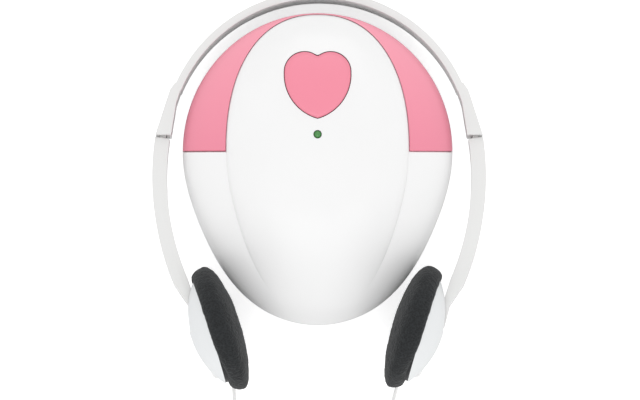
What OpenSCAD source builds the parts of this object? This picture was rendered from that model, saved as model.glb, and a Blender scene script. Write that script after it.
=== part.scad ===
// Hand-held fetal heartbeat monitor with its stereo headset, laid out flat.
// The monitor rests on its round probe face; the origin is the centre of that face.
// +Z is up, +Y points from the chin of the monitor to its nose.

/* [Monitor housing] */
// Half of the housing's width at its waist
body_half_w = 53; // [50:0.5:56]
// Length of the housing from its waist up to the nose
nose_len = 54.5; // [52:0.5:58]
// Length of the housing from its waist down to the chin
chin_len = 68.1; // [65:0.5:72]
// How far the waist lies below the probe's centre
waist_drop = 5.2; // [4:0.2:8]
// Height of the joint between the upper and the lower shell
part_z = 16; // [15:0.25:18]
// Height of the wings' crown above that joint
wing_h = 15.5; // [14:0.25:18]
// Height that the raised tongue adds in the middle
tongue_h = 4.5; // [3:0.25:6]
// Wall of the upper shell
top_wall = 3; // [2.6:0.1:3.6]
// Wall of the lower shell
base_wall = 2.2; // [1.8:0.1:2.8]
// Height of the lower shell's flat bottom
floor_z = 3; // [2.5:0.1:3.5]
// How far the lower shell draws in at its bottom
draw_in = 9; // [7:0.5:11]

/* [Raised tongue] */
// Half of the tongue's width
tongue_half_w = 35.7; // [32:0.5:38]
// Length of the tongue from the waist to its upper end
tongue_up = 53.7; // [50:0.5:54]
// Length of the tongue from the waist to its lower end
tongue_low = 64.2; // [58:0.5:66]

/* [Pink collar] */
// Thickness of the collar
collar_t = 1.4; // [1.2:0.1:1.6]
// Open joint round the collar
collar_gap = 0.2; // [0.1:0.05:0.3]

/* [Heart button] */
// Radius of the two lobes
lobe_r = 7.9; // [7:0.1:8.5]
// Distance of each lobe's centre from the middle
lobe_x = 5.1; // [4.5:0.1:5.5]
// Radius of the two long sides
side_r = 17.8; // [16.5:0.1:19]
// Distance of the lobes' centres from the probe's centre
heart_y = 26; // [22:0.5:28]
// Height of the button above the shell
heart_proud = 0.9; // [0.5:0.1:1.4]
// Clearance round the button
heart_gap = 0.3; // [0.2:0.05:0.4]
// Travel of the button
heart_travel = 0.8; // [0.5:0.1:1]

/* [Status light] */
// Diameter of the lamp
led_d = 3; // [2.5:0.1:4]
// Distance of the lamp from the probe's centre
led_y = 1.6; // [0:0.2:4]

/* [Probe] */
// Radius of the probe's window
window_r = 22.5; // [20:0.5:23]
// Width of the ring round the window
probe_ring_w = 2.5; // [2:0.25:3]
// Thickness of the window
window_t = 2; // [1.5:0.1:2.5]
// Radius of the two half-round crystals
crystal_r = 15; // [12:0.5:17]
// Thickness of the crystals
crystal_t = 1; // [0.6:0.1:1.4]
// Thickness of the backing behind the crystals
backing_t = 5; // [4:0.25:6]

/* [Electronics] */
// Height of the circuit board's underside
board_z = 13.6; // [13.2:0.1:14]
// Thickness of the circuit board
board_t = 1.6; // [1.2:0.1:1.8]
// Half of the circuit board's width
board_half_w = 32; // [28:0.5:33]
// Side of the push switch
switch_side = 12; // [10:0.5:13]
// Height of the push switch's case
switch_h = 4.3; // [3.5:0.1:5]
// Diameter of the switch's plunger
plunger_d = 6.8; // [5:0.1:7.4]

/* [Volume wheel] */
// Radius of the thumb wheel
wheel_r = 9; // [8:0.25:9.5]
// Thickness of the thumb wheel
wheel_t = 3; // [2.5:0.1:3.4]
// How far the wheel stands out of the housing's side
wheel_proud = 0.9; // [0.5:0.1:1.2]
// Diameter of the wheel's shaft
shaft_d = 3; // [2.5:0.1:3.5]

/* [Battery] */
// Radius of each AAA cell
cell_r = 5.25; // [5:0.05:5.25]
// Length of each AAA cell
cell_l = 44.5; // [43.5:0.1:44.5]
// Half of the battery door's width
door_half_w = 20; // [17:0.5:21]
// Distance of the door's upper edge from the probe's centre
door_edge = 29; // [28.5:0.25:32]

/* [Headphone socket] */
// Diameter of the socket's bore
jack_bore = 3.7; // [3.6:0.05:3.8]
// Diameter of the socket's barrel
jack_barrel = 6; // [5.6:0.1:6.6]
// Length of the socket
jack_len = 14; // [12:0.5:16]
// Height of the socket's axis
jack_z = 11; // [10.5:0.1:11.5]

/* [Screws] */
// Shank diameter of the housing's screws
screw_d = 2.5; // [2.2:0.1:3]
// Head diameter of the housing's screws
screw_head = 4.6; // [4:0.1:5]

/* [Headset] */
// Outer radius of the headband
band_r = 61.4; // [60.5:0.1:63]
// Thickness of the headband
band_t = 3; // [2.4:0.1:3.6]
// Width of the headband
band_w = 14; // [12:0.5:16]
// Distance of the headband's centre below the probe's centre
band_drop = 3.6; // [3:0.1:4.2]
// Sideways place of the headset on the surface
headset_x = 0.6; // [0:0.1:1]
// Outer radius of each curved arm
arm_r = 108.6; // [105:0.2:112]
// Thickness of each arm
arm_t = 5.8; // [5:0.1:6.4]
// Width of each arm
arm_w = 9.4; // [8.6:0.1:10.4]
// Travel of each arm in its sleeve
arm_travel = 12; // [8:0.5:12]
// Thickness of the arm's tongue in its sleeve
tongue_t = 2.2; // [1.8:0.1:2.4]
// Clearance of the tongue in its sleeve
slide_gap = 0.15; // [0.1:0.05:0.25]

/* [Ear cups] */
// Angle between each ear cup and the headset's middle line
cup_angle = 17.5; // [14:0.5:20]
// Radius of the ear cup's shell
cup_r = 21.3; // [20:0.1:22]
// Depth of the ear cup's shell
cup_depth = 7.6; // [7:0.1:8.4]
// Wall of the ear cup's shell
cup_wall = 1.5; // [1.2:0.1:1.8]
// Radius of the pivot pin
pin_r = 1; // [0.8:0.05:1.2]
// Running clearance round the pivot pin
pin_gap = 0.05; // [0.02:0.01:0.08]
// How much further in the right cup sits
right_cup_in = 2; // [0:0.25:2.5]
// Radius of the driver
driver_r = 13.5; // [12:0.5:15]
// Radius of the foam pad
pad_r = 25.2; // [24:0.1:26]
// Thickness of the foam pad's crown over the ear cup
pad_crown = 12.5; // [11:0.25:14]

/* [Cords] */
// Diameter of the two legs of the cord
leg_d = 1.4; // [1.2:0.1:1.8]
// Diameter of the main lead
lead_d = 2; // [1.8:0.1:2.2]
// Turns in each layer of the lead's coil
coil_turns = 3; // [2:1:4]
// Radius of the coil at the middle of its turns
coil_r = 12; // [11:0.25:13]
// Open space between two turns
coil_gap = 0.5; // [0.45:0.05:0.8]

/* [Hidden] */
$fn = 64;
eps = 0.01;

// ---- Housing surface ----
chin_pinch = 0.045;
wall_play = 0.1;      // how far the step round the tongue leans outwards
tongue_power = 2.27;
wing_power = 2.4;
facets = 72;

// The housing's outline narrows a little more than an ellipse towards the chin.
function narrowing(s) = 1 - chin_pinch * pow(sin(150 * s), 2);
function signed_power(v, p) = sign(v) * pow(abs(v), p);

// A point of an outline with half width a, upper length up and lower length low
function outline(t, a, up, low, power = 2) = let (c = cos(t), s = sin(t))
    s < 0
    ? [a * c * narrowing(-s), low * s - waist_drop]
    : [a * signed_power(c, 2 / power), up * pow(s, 2 / power) - waist_drop];

// How far a point lies from the outline's middle, 1 on the outline itself
function reach(x, y, a, up, low, power = 2) = let (dy = y + waist_drop)
    dy < 0
    ? norm([x / (a * narrowing(min(1, -dy / low))), dy / low])
    : pow(pow(abs(x) / a, power) + pow(dy / up, power), 1 / power);

function body_edge(t, off) =
    outline(t, body_half_w - off, nose_len - off, chin_len - off);
function tongue_edge(t, off) =
    outline(t, tongue_half_w - off, tongue_up - off, tongue_low - off, tongue_power);

function smooth_step(v) = let (k = max(0, min(1, v))) k * k * (3 - 2 * k);

// Height of the upper surface, off being the distance below the outer skin
function wing_z(x, y, off) = let (
        r = min(1, reach(x, y, body_half_w - off, nose_len - off, chin_len - off)))
    part_z + (wing_h - off) * sqrt(1 - pow(r, wing_power));

// The tongue's edge is crisp at the waist and fades out at the chin.
function tongue_z(x, y, off) = let (
        r = min(1, reach(x, y, tongue_half_w - off, tongue_up - off, tongue_low - off,
            tongue_power)),
        fade = smooth_step((-(y + waist_drop) / tongue_low - 0.25) / 0.65))
    tongue_h * ((1 - fade) * sqrt(1 - pow(r, 4)) + fade * pow(1 - r * r, 2));

function skin_z(x, y, off) = wing_z(x, y, off) + tongue_z(x, y, off);
function on_skin(p, off) = [p.x, p.y, skin_z(p.x, p.y, off)];
function on_wing(p, off) = [p.x, p.y, wing_z(p.x, p.y, off)];
function mix(p, q, k) = p * (1 - k) + q * k;

// Triangles between two closed rings of n points that start at a and b
function ring_band(a, b, n) = [for (i = [0 : n - 1]) each
    let (j = (i + 1) % n) [[a + i, b + j, a + j], [a + i, b + i, b + j]]];
function flipped(faces) = [for (f = faces) [f[0], f[2], f[1]]];
function fan(ring, centre, n) = [for (i = [0 : n - 1]) [ring + i, ring + (i + 1) % n, centre]];

// Closed shape from stacked rings, capped at both ends with a point each
module ring_stack(rings, first, last) {
    n = len(rings[0]);
    m = len(rings);
    points = concat([for (ring = rings) each ring], [first, last]);
    faces = concat(
        [for (i = [0 : m - 2]) each ring_band(i * n, (i + 1) * n, n)],
        fan(0, n * m, n),
        flipped(fan((m - 1) * n, n * m + 1, n)));
    polyhedron(points = points, faces = faces, convexity = 6);
}

waist_turn = 0.2;     // half of the angle in which the collar's seat ends at the waist
facet_step = 360 / facets;
collar_angles = concat([waist_turn],
    [for (a = [facet_step : facet_step : 180 - facet_step]) a], [180 - waist_turn]);
ring_angles = concat(collar_angles, [for (a = collar_angles) a + 180]);
edge_steps = [1, 0.985, 0.95, 0.88, 0.78, 0.64, 0.46, 0.26];
wing_steps = [1, 0.985, 0.93, 0.82, 0.65, 0.42, 0.2, 0];

// Depth of the collar's seat below the skin; it is shallow where the crescent is narrow.
function seat_depth(t) =
    t < 180 ? min(collar_t, 0.5 * norm(body_edge(t, 0) - tongue_edge(t, 0))) : 0;

// Everything under the upper skin, down to the joint with the lower shell. The collar's
// seat lies sunk below the skin, from the waist up.
module skin_solid(off, low) {
    function sunk(t) = max(off, seat_depth(t));
    rings = concat(
        [[for (t = ring_angles) let (p = body_edge(t, sunk(t))) [p.x, p.y, low]]],
        [for (k = wing_steps) [for (t = ring_angles)
            on_wing(mix(tongue_edge(t, off - wall_play), body_edge(t, sunk(t)), k), sunk(t))
            + [0, 0, eps]]],
        [for (k = edge_steps) [for (t = ring_angles)
            on_skin(mix([0, -waist_drop], tongue_edge(t, off), k), off) + [0, 0, 2 * eps]]]);
    ring_stack(rings, [0, -waist_drop, low], on_skin([0, -waist_drop], off));
}

// A crescent between the tongue's edge and the housing's edge, above the waist
module crescent(gap) {
    n = len(wing_steps);
    steps = len(collar_angles) - 1;
    function waist_side(i) = i == 0 || i == steps ? [0, gap] : [0, 0];
    function layer(share, play, lift) = [for (i = [0 : steps]) for (k = wing_steps)
        let (t = collar_angles[i],
            off = max(0, share * seat_depth(t) - play),
            p = mix(tongue_edge(t, -gap), body_edge(t, off), k))
        on_wing(p + waist_side(i), off) + [0, 0, lift]];
    top = layer(0, 0, 2 * eps);
    low = layer(1, seat, eps);
    m = len(top);
    faces = concat(
        [for (i = [0 : steps - 1]) for (j = [0 : n - 2]) each let (a = i * n + j, b = a + n)
            [[a, b, b + 1], [a, b + 1, a + 1]]],
        [for (i = [0 : steps - 1]) for (j = [0 : n - 2]) each let (a = m + i * n + j, b = a + n)
            [[a, b + 1, b], [a, a + 1, b + 1]]],
        [for (i = [0 : steps - 1]) each let (a = i * n, b = a + n)
            [[a, m + b, b], [a, m + a, m + b]]],
        [for (i = [0 : steps - 1]) each let (a = i * n + n - 1, b = a + n)
            [[a, b, m + b], [a, m + b, m + a]]],
        [for (j = [0 : n - 2]) each [[j, j + 1, m + j + 1], [j, m + j + 1, m + j]]],
        [for (j = [0 : n - 2]) each let (a = steps * n + j)
            [[a, m + a + 1, a + 1], [a, m + a, m + a + 1]]]);
    polyhedron(points = concat(top, low), faces = flipped(faces), convexity = 6);
}

// ---- Housing: named places ----
seat = 0.05;          // play between pieces that sit in each other
light_gap = 0.1;      // play round the status light
post_z = 15;          // where the posts of the two shells meet
post_r = 3;           // radius of the upper shell's posts
boss_r = 3.6;         // radius of the lower shell's bosses
head_depth = 4;       // how deep the screws' heads are sunk
screw_len = 14;
screw_places = [[36, 18], [-36, 18], [32, -40], [-32, -40]];
board_screw_places = [[24, 24], [-24, 24], [26, -18], [-26, -18]];
board_screw_r = 1;
board_screw_head = 1.9;
board_screw_len = 6;
board_boss_r = 2.8;
board_top = board_z + board_t;
board_low_y = -22;
board_high_y = 38;
board_round = 45;
heart_mid_y = heart_y - 5;
flange_top = 26.8;    // upper side of the heart button's flange, inside the shell
flange_t = 1.2;
flange_w = 1.5;
stem_r = 2.6;
plunger_top = board_top + switch_h + 3;
plunger_low = board_top + switch_h - 1.2;
ring_r = window_r + probe_ring_w;
ring_low = 0.5;
flange_r = ring_r + 2;
ring_top = floor_z + base_wall + 1;
ledge_w = 1;
wheel_z = 6.2;
pot_gap = 0.8;        // space between the thumb wheel and the potentiometer
pot_r = 5.5;
cell_gap = 0.8;
cell_lift = 1.3;      // room for the door's hooks under the cells
cell_z = floor_z + base_wall + cell_lift + cell_r;
spring_room = 1.2;
box_t = 1.2;
jack_block = 3.8;     // half of the headphone socket's body
cells_y = -door_edge - 2.2 - cell_r;
door_gap = 0.3;
door_top = floor_z + base_wall + 1;
door_hook = 3;
door_ribs = 4;

// How far the lower shell draws in at height z
function inset(z) = draw_in * (1 - pow(1 - pow(
    max(0, min(1, (part_z - z) / (part_z - floor_z))), 2.6), 1 / 2.6));
function base_ring(z, off) = [for (t = ring_angles)
    let (p = body_edge(t, off + inset(z))) [p.x, p.y, z]];
wheel_x = body_half_w - inset(wheel_z + wheel_t / 2) + wheel_proud - wheel_r;
chin_y = -waist_drop - chin_len;

// The lower shell's solid form, off being the distance inside its outer skin
module base_solid(off, low, high) {
    heights = [1, 0.8, 0.55, 0.32, 0.16, 0.06, 0.015, 0];
    rings = [for (k = heights) base_ring(mix(low, part_z, k), off)];
    top = [for (p = rings[0]) [p.x, p.y, high]];
    all = concat(high > part_z ? [top] : [], rings);
    ring_stack([for (i = [len(all) - 1 : -1 : 0]) all[i]],
        [0, -waist_drop, low], [0, -waist_drop, high]);
}

// Heart with two round lobes and two long round sides, grown by g
module heart_outline(g = 0) {
    low_y = heart_y - 1;
    for (s = [-1, 1]) translate([s * lobe_x, heart_y]) circle(lobe_r + g);
    intersection() {
        translate([lobe_r + lobe_x - side_r, low_y]) circle(side_r + g);
        translate([side_r - lobe_r - lobe_x, low_y]) circle(side_r + g);
        translate([-side_r, low_y - 2 * side_r]) square([2 * side_r, 2 * side_r + 1]);
    }
}

// Solid under the shell's skin round the heart, raised by up
module heart_cap(up, low) {
    half_x = lobe_x + lobe_r + 2;
    y0 = heart_y - side_r - 3;
    y1 = heart_y + lobe_r + 2;
    n = 12;
    top = [for (i = [0 : n]) for (j = [0 : n])
        let (x = half_x * (2 * i / n - 1), y = y0 + (y1 - y0) * j / n)
        [x, y, skin_z(x, y, 0) + up]];
    base = [for (p = top) [p.x, p.y, low]];
    m = len(top);
    w = n + 1;
    faces = concat(
        [for (i = [0 : n - 1]) for (j = [0 : n - 1]) each let (a = i * w + j, b = a + w)
            [[a, a + 1, b + 1], [a, b + 1, b]]],
        [for (i = [0 : n - 1]) for (j = [0 : n - 1]) each let (a = m + i * w + j, b = a + w)
            [[a, b + 1, a + 1], [a, b, b + 1]]],
        [for (i = [0 : n - 1]) each let (a = i * w, b = a + w)
            [[a, b, m + b], [a, m + b, m + a]]],
        [for (i = [0 : n - 1]) each let (a = i * w + n, b = a + w)
            [[a, m + b, b], [a, m + a, m + b]]],
        [for (j = [0 : n - 1]) each [[j, m + j + 1, j + 1], [j, m + j, m + j + 1]]],
        [for (j = [0 : n - 1]) each let (a = n * w + j)
            [[a, a + 1, m + a + 1], [a, m + a + 1, m + a]]]);
    polyhedron(points = concat(top, base), faces = faces, convexity = 4);
}

led_top = skin_z(0, led_y, 0) + 0.6;
led_base = skin_z(0, led_y, top_wall) - 1.4;

// A post ends in the skin above its outer side, so that it stays under the collar.
function post_top(p) = let (q = p * (1 + post_r / norm(p)))
    wing_z(q.x, q.y, top_wall) + 0.5;

// ---- Housing: pieces ----
module top_shell() {
    color("#f2f2f3") {
        difference() {
            skin_solid(0, part_z);
            skin_solid(top_wall, part_z - 1);
            translate([0, 0, part_z]) linear_extrude(wing_h + 2 * tongue_h)
                heart_outline(heart_gap);
            translate([0, led_y, part_z + wing_h / 2])
                cylinder(r = led_d / 2 + light_gap, h = wing_h);
        }
        for (p = screw_places) translate([p.x, p.y, post_z]) difference() {
            cylinder(r = post_r, h = post_top(p) - post_z);
            translate([0, 0, -1]) cylinder(r = screw_d / 2 + seat, h = screw_len - head_depth - 1);
        }
    }
}

module pink_collar() {
    color("#f29cb0") crescent(collar_gap);
}

module battery_box(grow, low, high) {
    half_l = cell_l / 2 + spring_room + grow;
    y1 = cells_y + cell_r + 0.4 + grow;
    y0 = cells_y - cell_gap - 3 * cell_r - 0.4 - grow;
    translate([-half_l, y0, low]) cube([2 * half_l, y1 - y0, high - low]);
}

module bottom_shell() {
    wall_top = cell_z + cell_r + 0.5;
    color("#eeeeef") difference() {
        union() {
            difference() {
                base_solid(0, floor_z, part_z);
                base_solid(base_wall, floor_z + base_wall, part_z + 1);
            }
            for (p = screw_places) translate([p.x, p.y, floor_z + 0.5])
                cylinder(r = boss_r, h = post_z - floor_z - 0.5);
            for (p = board_screw_places) translate([p.x, p.y, floor_z + 0.5])
                cylinder(r = board_boss_r, h = board_z - floor_z - 0.5);
            difference() {
                battery_box(box_t, floor_z + 0.5, wall_top + box_t);
                battery_box(0, 0, wall_top);
            }
        }
        translate([0, 0, floor_z - 1]) cylinder(r = ring_r + seat, h = base_wall + 2);
        translate([-door_half_w - door_gap, chin_y - 5, 0])
            cube([2 * (door_half_w + door_gap), -door_edge - chin_y + 5, door_top + door_gap]);
        for (p = screw_places) translate([p.x, p.y, 0]) {
            cylinder(r = screw_head / 2 + 0.2, h = floor_z + head_depth);
            cylinder(r = screw_d / 2 + seat, h = post_z + 1);
        }
        for (p = board_screw_places) translate([p.x, p.y, floor_z + base_wall])
            cylinder(r = board_screw_r + seat, h = board_z);
        translate([wheel_x, -waist_drop - wheel_r, wheel_z - 0.4])
            cube([wheel_r + 5, 2 * wheel_r, wheel_t + 0.8]);
        translate([0, chin_y + 8, jack_z]) rotate([90, 0, 0])
            cylinder(d = jack_barrel + 2 * seat, h = 12);
    }
}

module heart_button() {
    color("#f293ab") {
        intersection() {
            translate([0, 0, flange_top - eps]) linear_extrude(20) heart_outline();
            heart_cap(heart_proud, flange_top - 1);
        }
        translate([0, 0, flange_top - flange_t]) linear_extrude(flange_t)
            heart_outline(flange_w);
        translate([0, heart_mid_y, plunger_top])
            cylinder(r = stem_r, h = flange_top - flange_t - plunger_top + eps);
    }
}

module switch_plunger() {
    color("#3c3f44") translate([0, heart_mid_y, plunger_low])
        cylinder(d = plunger_d, h = plunger_top - plunger_low);
}

module push_switch() {
    color("#2b2d31") translate([0, heart_mid_y, board_top]) difference() {
        translate([-switch_side / 2, -switch_side / 2, 0])
            cube([switch_side, switch_side, switch_h]);
        translate([0, 0, plunger_low - board_top - heart_travel - 0.1])
            cylinder(d = plunger_d + 2 * seat, h = switch_h);
    }
}

module status_light() {
    color("#4e9a4e") translate([0, led_y, 0]) {
        translate([0, 0, led_base])
            cylinder(d = led_d, h = led_top - led_d / 2 - led_base);
        translate([0, 0, led_top - led_d / 2]) sphere(d = led_d);
        translate([0, 0, led_base]) cylinder(d = led_d + 0.8, h = 1);
        for (s = [-1, 1]) translate([s * 0.6, 0, board_top])
            cylinder(r = 0.25, h = led_base - board_top + 0.5);
    }
}

module light_holder() {
    color("#1f2124") translate([0, led_y, board_top]) difference() {
        cylinder(d = led_d + 2, h = led_base - board_top);
        translate([0, 0, -1]) cylinder(r = 1, h = 30);
    }
}

module circuit_board() {
    color("#1f6b43") difference() {
        translate([0, 0, board_z]) linear_extrude(board_t) {
            intersection() {
                translate([-board_half_w, board_low_y])
                    square([2 * board_half_w, board_high_y - board_low_y]);
                translate([0, -2]) circle(board_round);
            }
            translate([board_half_w - 1, -waist_drop - pot_r])
                square([wheel_x + pot_r - 2 - board_half_w + 1, 2 * pot_r]);
        }
        for (p = board_screw_places) translate([p.x, p.y, board_z - 1])
            cylinder(r = board_screw_r + seat, h = board_t + 2);
    }
}

// Chips, capacitors and the quartz on the circuit board
module board_parts() {
    color("#25272b") translate([0, 0, board_top]) {
        for (p = [[-16, -8, 10, 7, 1.8], [9, -10, 7, 7, 1.5], [-24, 8, 6, 9, 1.6]])
            translate([p[0], p[1], 0]) cube([p[2], p[3], p[4]]);
        for (x = [-14, -8, 14, 20]) translate([x, 10, 0]) cylinder(r = 2.2, h = 6);
        translate([14, -18, 0]) cube([10, 4, 3.4]);
    }
}

function door_edge_y() = -door_edge - door_gap;

module battery_door() {
    color("#ececed") {
        difference() {
            intersection() {
                base_solid(0, floor_z, part_z);
                translate([-door_half_w, chin_y - 5, 0])
                    cube([2 * door_half_w, door_edge_y() - chin_y + 5, door_top]);
            }
            base_solid(base_wall, floor_z + base_wall, part_z + 1);
            for (i = [0 : door_ribs - 1]) translate([-8, chin_y + 15 + 2.4 * i, floor_z - 1])
                cube([16, 1.1, 1.5]);
        }
        for (s = [-1, 1]) translate([s * 15 - 3, door_edge_y() - 2, floor_z + base_wall - 0.5])
            cube([6, 2, 0.5 + 0.1]);
        for (s = [-1, 1])
            translate([s * 15 - 3, door_edge_y() - 2, floor_z + base_wall + 0.1])
                cube([6, 2 + door_hook, 0.8]);
    }
}

module cell(y) {
    translate([-cell_l / 2, y, cell_z]) rotate([0, 90, 0]) {
        cylinder(r = cell_r, h = cell_l - 1);
        cylinder(r = cell_r / 2.6, h = cell_l);
    }
}

module battery_upper() {
    color("#3a6ea8") cell(cells_y);
}

module battery_lower() {
    color("#3a6ea8") mirror([1, 0, 0]) cell(cells_y - cell_gap - 2 * cell_r);
}

// End plates of the battery box, with a spring cone for each cell's flat end
module battery_contacts() {
    low_y = cells_y - cell_gap - 2 * cell_r;
    x = cell_l / 2 + spring_room;
    color("#c8c9cc") for (s = [-1, 1]) {
        translate([s * (x - 0.2) - 0.2, low_y - 4, cell_z - 4])
            cube([0.4, cells_y - low_y + 8, 8]);
        translate([s * (x - 0.4), s < 0 ? cells_y : low_y, cell_z]) rotate([0, -90 * s, 0])
            cylinder(r1 = 3.4, r2 = 2.2, h = spring_room - 0.4);
    }
}

module probe_ring() {
    color("#c9ccd1") difference() {
        union() {
            translate([0, 0, ring_low]) cylinder(r = ring_r, h = ring_top - ring_low);
            translate([0, 0, floor_z + base_wall + seat])
                cylinder(r = flange_r, h = ring_top - floor_z - base_wall - seat);
        }
        translate([0, 0, -1]) cylinder(r = window_r + seat, h = window_t + 1);
        translate([0, 0, -1]) cylinder(r = window_r - ledge_w, h = ring_top + 2);
    }
}

module probe_window() {
    color("#dfe3e6") cylinder(r = window_r, h = window_t);
}

module crystals() {
    color("#c9a25a") translate([0, 0, window_t]) difference() {
        cylinder(r = crystal_r, h = crystal_t);
        translate([-0.5, -50, -1]) cube([1, 100, crystal_t + 2]);
    }
}

module acoustic_backing() {
    color("#4a4c50") translate([0, 0, window_t + crystal_t])
        cylinder(r = crystal_r + 2, h = backing_t);
}

// Four stranded wires from the crystals up to the circuit board
module probe_wires() {
    low = window_t + crystal_t + backing_t;
    color("#b5443c") for (x = [-6, -2, 2, 6]) translate([x, -10, low])
        cylinder(r = 0.6, h = board_z - low);
}

module headphone_socket() {
    block_y = chin_y + base_wall + inset(jack_z - jack_block) + 0.3;
    back_y = chin_y + inset(jack_z) + jack_len + 0.8;
    color("#232428") difference() {
        union() {
            translate([0, back_y, jack_z]) rotate([90, 0, 0])
                cylinder(d = jack_barrel, h = back_y - chin_y - inset(jack_z));
            translate([-jack_block, block_y, jack_z - jack_block])
                cube([2 * jack_block, back_y - block_y, 2 * jack_block]);
        }
        translate([0, back_y - 0.8, jack_z]) rotate([90, 0, 0])
            cylinder(d = jack_bore, h = jack_len + 5);
    }
}

module volume_wheel() {
    color("#e4e5e7") translate([wheel_x, -waist_drop, wheel_z]) difference() {
        cylinder(r = wheel_r, h = wheel_t);
        for (a = [0 : 10 : 350]) rotate(a) translate([wheel_r + 0.2, 0, -1])
            cylinder(r = 0.5, h = wheel_t + 2, $fn = 16);
        translate([0, 0, -1]) cylinder(d = shaft_d, h = wheel_t + 2);
    }
}

module volume_shaft() {
    color("#8d9096") translate([wheel_x, -waist_drop, wheel_z])
        cylinder(d = shaft_d, h = board_z - wheel_z - 0.5);
}

module potentiometer() {
    low = wheel_z + wheel_t + pot_gap;
    color("#35506b") translate([wheel_x, -waist_drop, low]) difference() {
        cylinder(r = pot_r, h = board_z - low);
        translate([0, 0, -1]) cylinder(d = shaft_d + 2 * seat, h = board_z - low + 0.6);
    }
}

module shell_screws() {
    color("#b9bcc2") for (p = screw_places) translate([p.x, p.y, floor_z + head_depth]) {
        translate([0, 0, -2]) cylinder(d = screw_head, h = 2);
        cylinder(d = screw_d, h = screw_len);
    }
}

module board_screws() {
    color("#b9bcc2") for (p = board_screw_places) translate([p.x, p.y, board_top]) {
        cylinder(r = board_screw_head, h = 1.2);
        translate([0, 0, -board_screw_len]) cylinder(r = board_screw_r, h = board_screw_len);
    }
}

// ---- Headset: its plane ----
// The headset lies on the lower edge of its band and on the rims of its two foam pads.
pad_sink = 0.4;               // how far the foam is pressed flat where it stands
arm_reach = 65.5;             // half of the headset's width, at the arms
cup_inset = 22.6;             // how far the ear cups' centres sit in from the arms
flank_sum = 119.4;            // sideways plus downward, for a place beside the lower flanks
cup_u = arm_reach - cup_inset;
cup_v = flank_sum - cup_u;
arm_drop = 15.4;              // distance of the arms' centres of curvature below the probe
seam_v = 0.3;                 // place of the joint between sleeve and arm
seam_gap = 0.5;
arm_turn = 23;                // how far each arm curves in below its widest place
eye_r = 2.1;                  // radius of the arm's eye round the pivot pin
pivot_n = -3.2;               // pivot behind the ear cup's rim
pivot_d = -4.6;               // pivot above the ear cup's centre
slot_gap = 0.5;               // room beside the arm in the ear cup's slot
ear_t = 1.5;
pin_len = arm_w + 2 * slot_gap + 2 * ear_t;
band_top_v = band_r - band_drop;
rise = pad_r - band_w / 2;
run = cup_v + band_top_v;
tilt = atan(rise / run) - asin(pad_sink / norm([rise, run]));
plane_z = band_top_v * sin(tilt) + band_w / 2 * cos(tilt);
sleeve_w = band_w;

module headset_plane() {
    translate([headset_x, 0, plane_z]) rotate([-tilt, 0, 0]) children();
}

function cup_in(s) = s > 0 ? right_cup_in : 0;

// A point of the left half, n in from the ear cup's rim plane and d down along it
function cup_point(n, d) =
    [-cup_u + n * cos(cup_angle) + d * sin(cup_angle),
     -cup_v + n * sin(cup_angle) - d * cos(cup_angle)];

// Places its children in the ear cup of side s: +Z points at the ear, +X up along the cup
module cup_frame(s) {
    headset_plane() mirror([s > 0 ? 1 : 0, 0, 0])
        translate([-cup_u + cup_in(s) * cos(cup_angle), -cup_v + cup_in(s) * sin(cup_angle), 0])
            rotate([0, 0, cup_angle]) rotate([0, 90, 0]) rotate([0, 0, 90]) children();
}

arm_u = arm_r - arm_reach;
function arm_point(r, a) = [arm_u - r * cos(a), -arm_drop + r * sin(a)];
seam_a = asin((seam_v + arm_drop) / arm_r);
seam_out = arm_point(arm_r, seam_a);
seam_in = arm_point(arm_r - arm_t, seam_a);
seam_mid = (seam_out + seam_in) / 2;
sleeve_v = 18.2;              // top of the sleeve above the seam
slide_top = band_point(band_r - 0.893, sleeve_v);
slide_a = atan((slide_top.x - seam_mid.x) / (slide_top.y - seam_mid.y));
slide_dir = [sin(slide_a), cos(slide_a)];
tongue_w = 7;
tongue_hold = 5.4;            // what stays in the sleeve at full travel
tongue_l = arm_travel + tongue_hold;

// The part of a ring between the angles a0 and a1, both below 90 degrees
module ring_sector(r, t, a0, a1) {
    far = 2 * r;
    intersection() {
        difference() {
            circle(r, $fn = 180);
            circle(r - t, $fn = 180);
        }
        polygon([[0, 0], far * [-cos(a0), sin(a0)], far * [-cos((a0 + a1) / 2),
            sin((a0 + a1) / 2)], far * [-cos(a1), sin(a1)]]);
    }
}

module slab(w) {
    translate([0, 0, -w / 2]) linear_extrude(w) children();
}

// A point of the left half of a ring round the band's centre, at height v
function band_point(r, v) = [-sqrt(r * r - pow(v + band_drop, 2)), v];

// The sleeve grows out of the band and flares a little where it begins.
module sleeve_outline() {
    u = [for (p = [seam_out, seam_in]) p.x + slide_dir.x * seam_gap];
    polygon([[u[0], seam_v + seam_gap], [u[1] + 0.4, seam_v + seam_gap],
        band_point(band_r - band_t + 0.2, sleeve_v - 4.7),
        band_point(band_r - band_t + 0.4, sleeve_v + 1.8),
        band_point(band_r + 0.4, sleeve_v + 3.3),
        band_point(band_r + 1.2, sleeve_v + 0.3)]);
}

module tongue_slot(grow, length) {
    translate(concat(seam_mid, 0)) rotate([0, 0, -slide_a])
        translate([-tongue_t / 2 - grow, -2, -tongue_w / 2 - grow])
            cube([tongue_t + 2 * grow, length + 2, tongue_w + 2 * grow]);
}

module headband() {
    color("#f0f0f1") headset_plane() difference() {
        union() {
            slab(band_w) translate([0, -band_drop]) difference() {
                circle(band_r, $fn = 180);
                circle(band_r - band_t, $fn = 180);
                translate([-2 * band_r, -2 * band_r])
                    square([4 * band_r, 2 * band_r + sleeve_v + band_drop]);
            }
            for (s = [0, 1]) mirror([s, 0, 0]) slab(sleeve_w) sleeve_outline();
        }
        for (s = [0, 1]) mirror([s, 0, 0]) tongue_slot(slide_gap, sleeve_v);
    }
}

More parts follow.
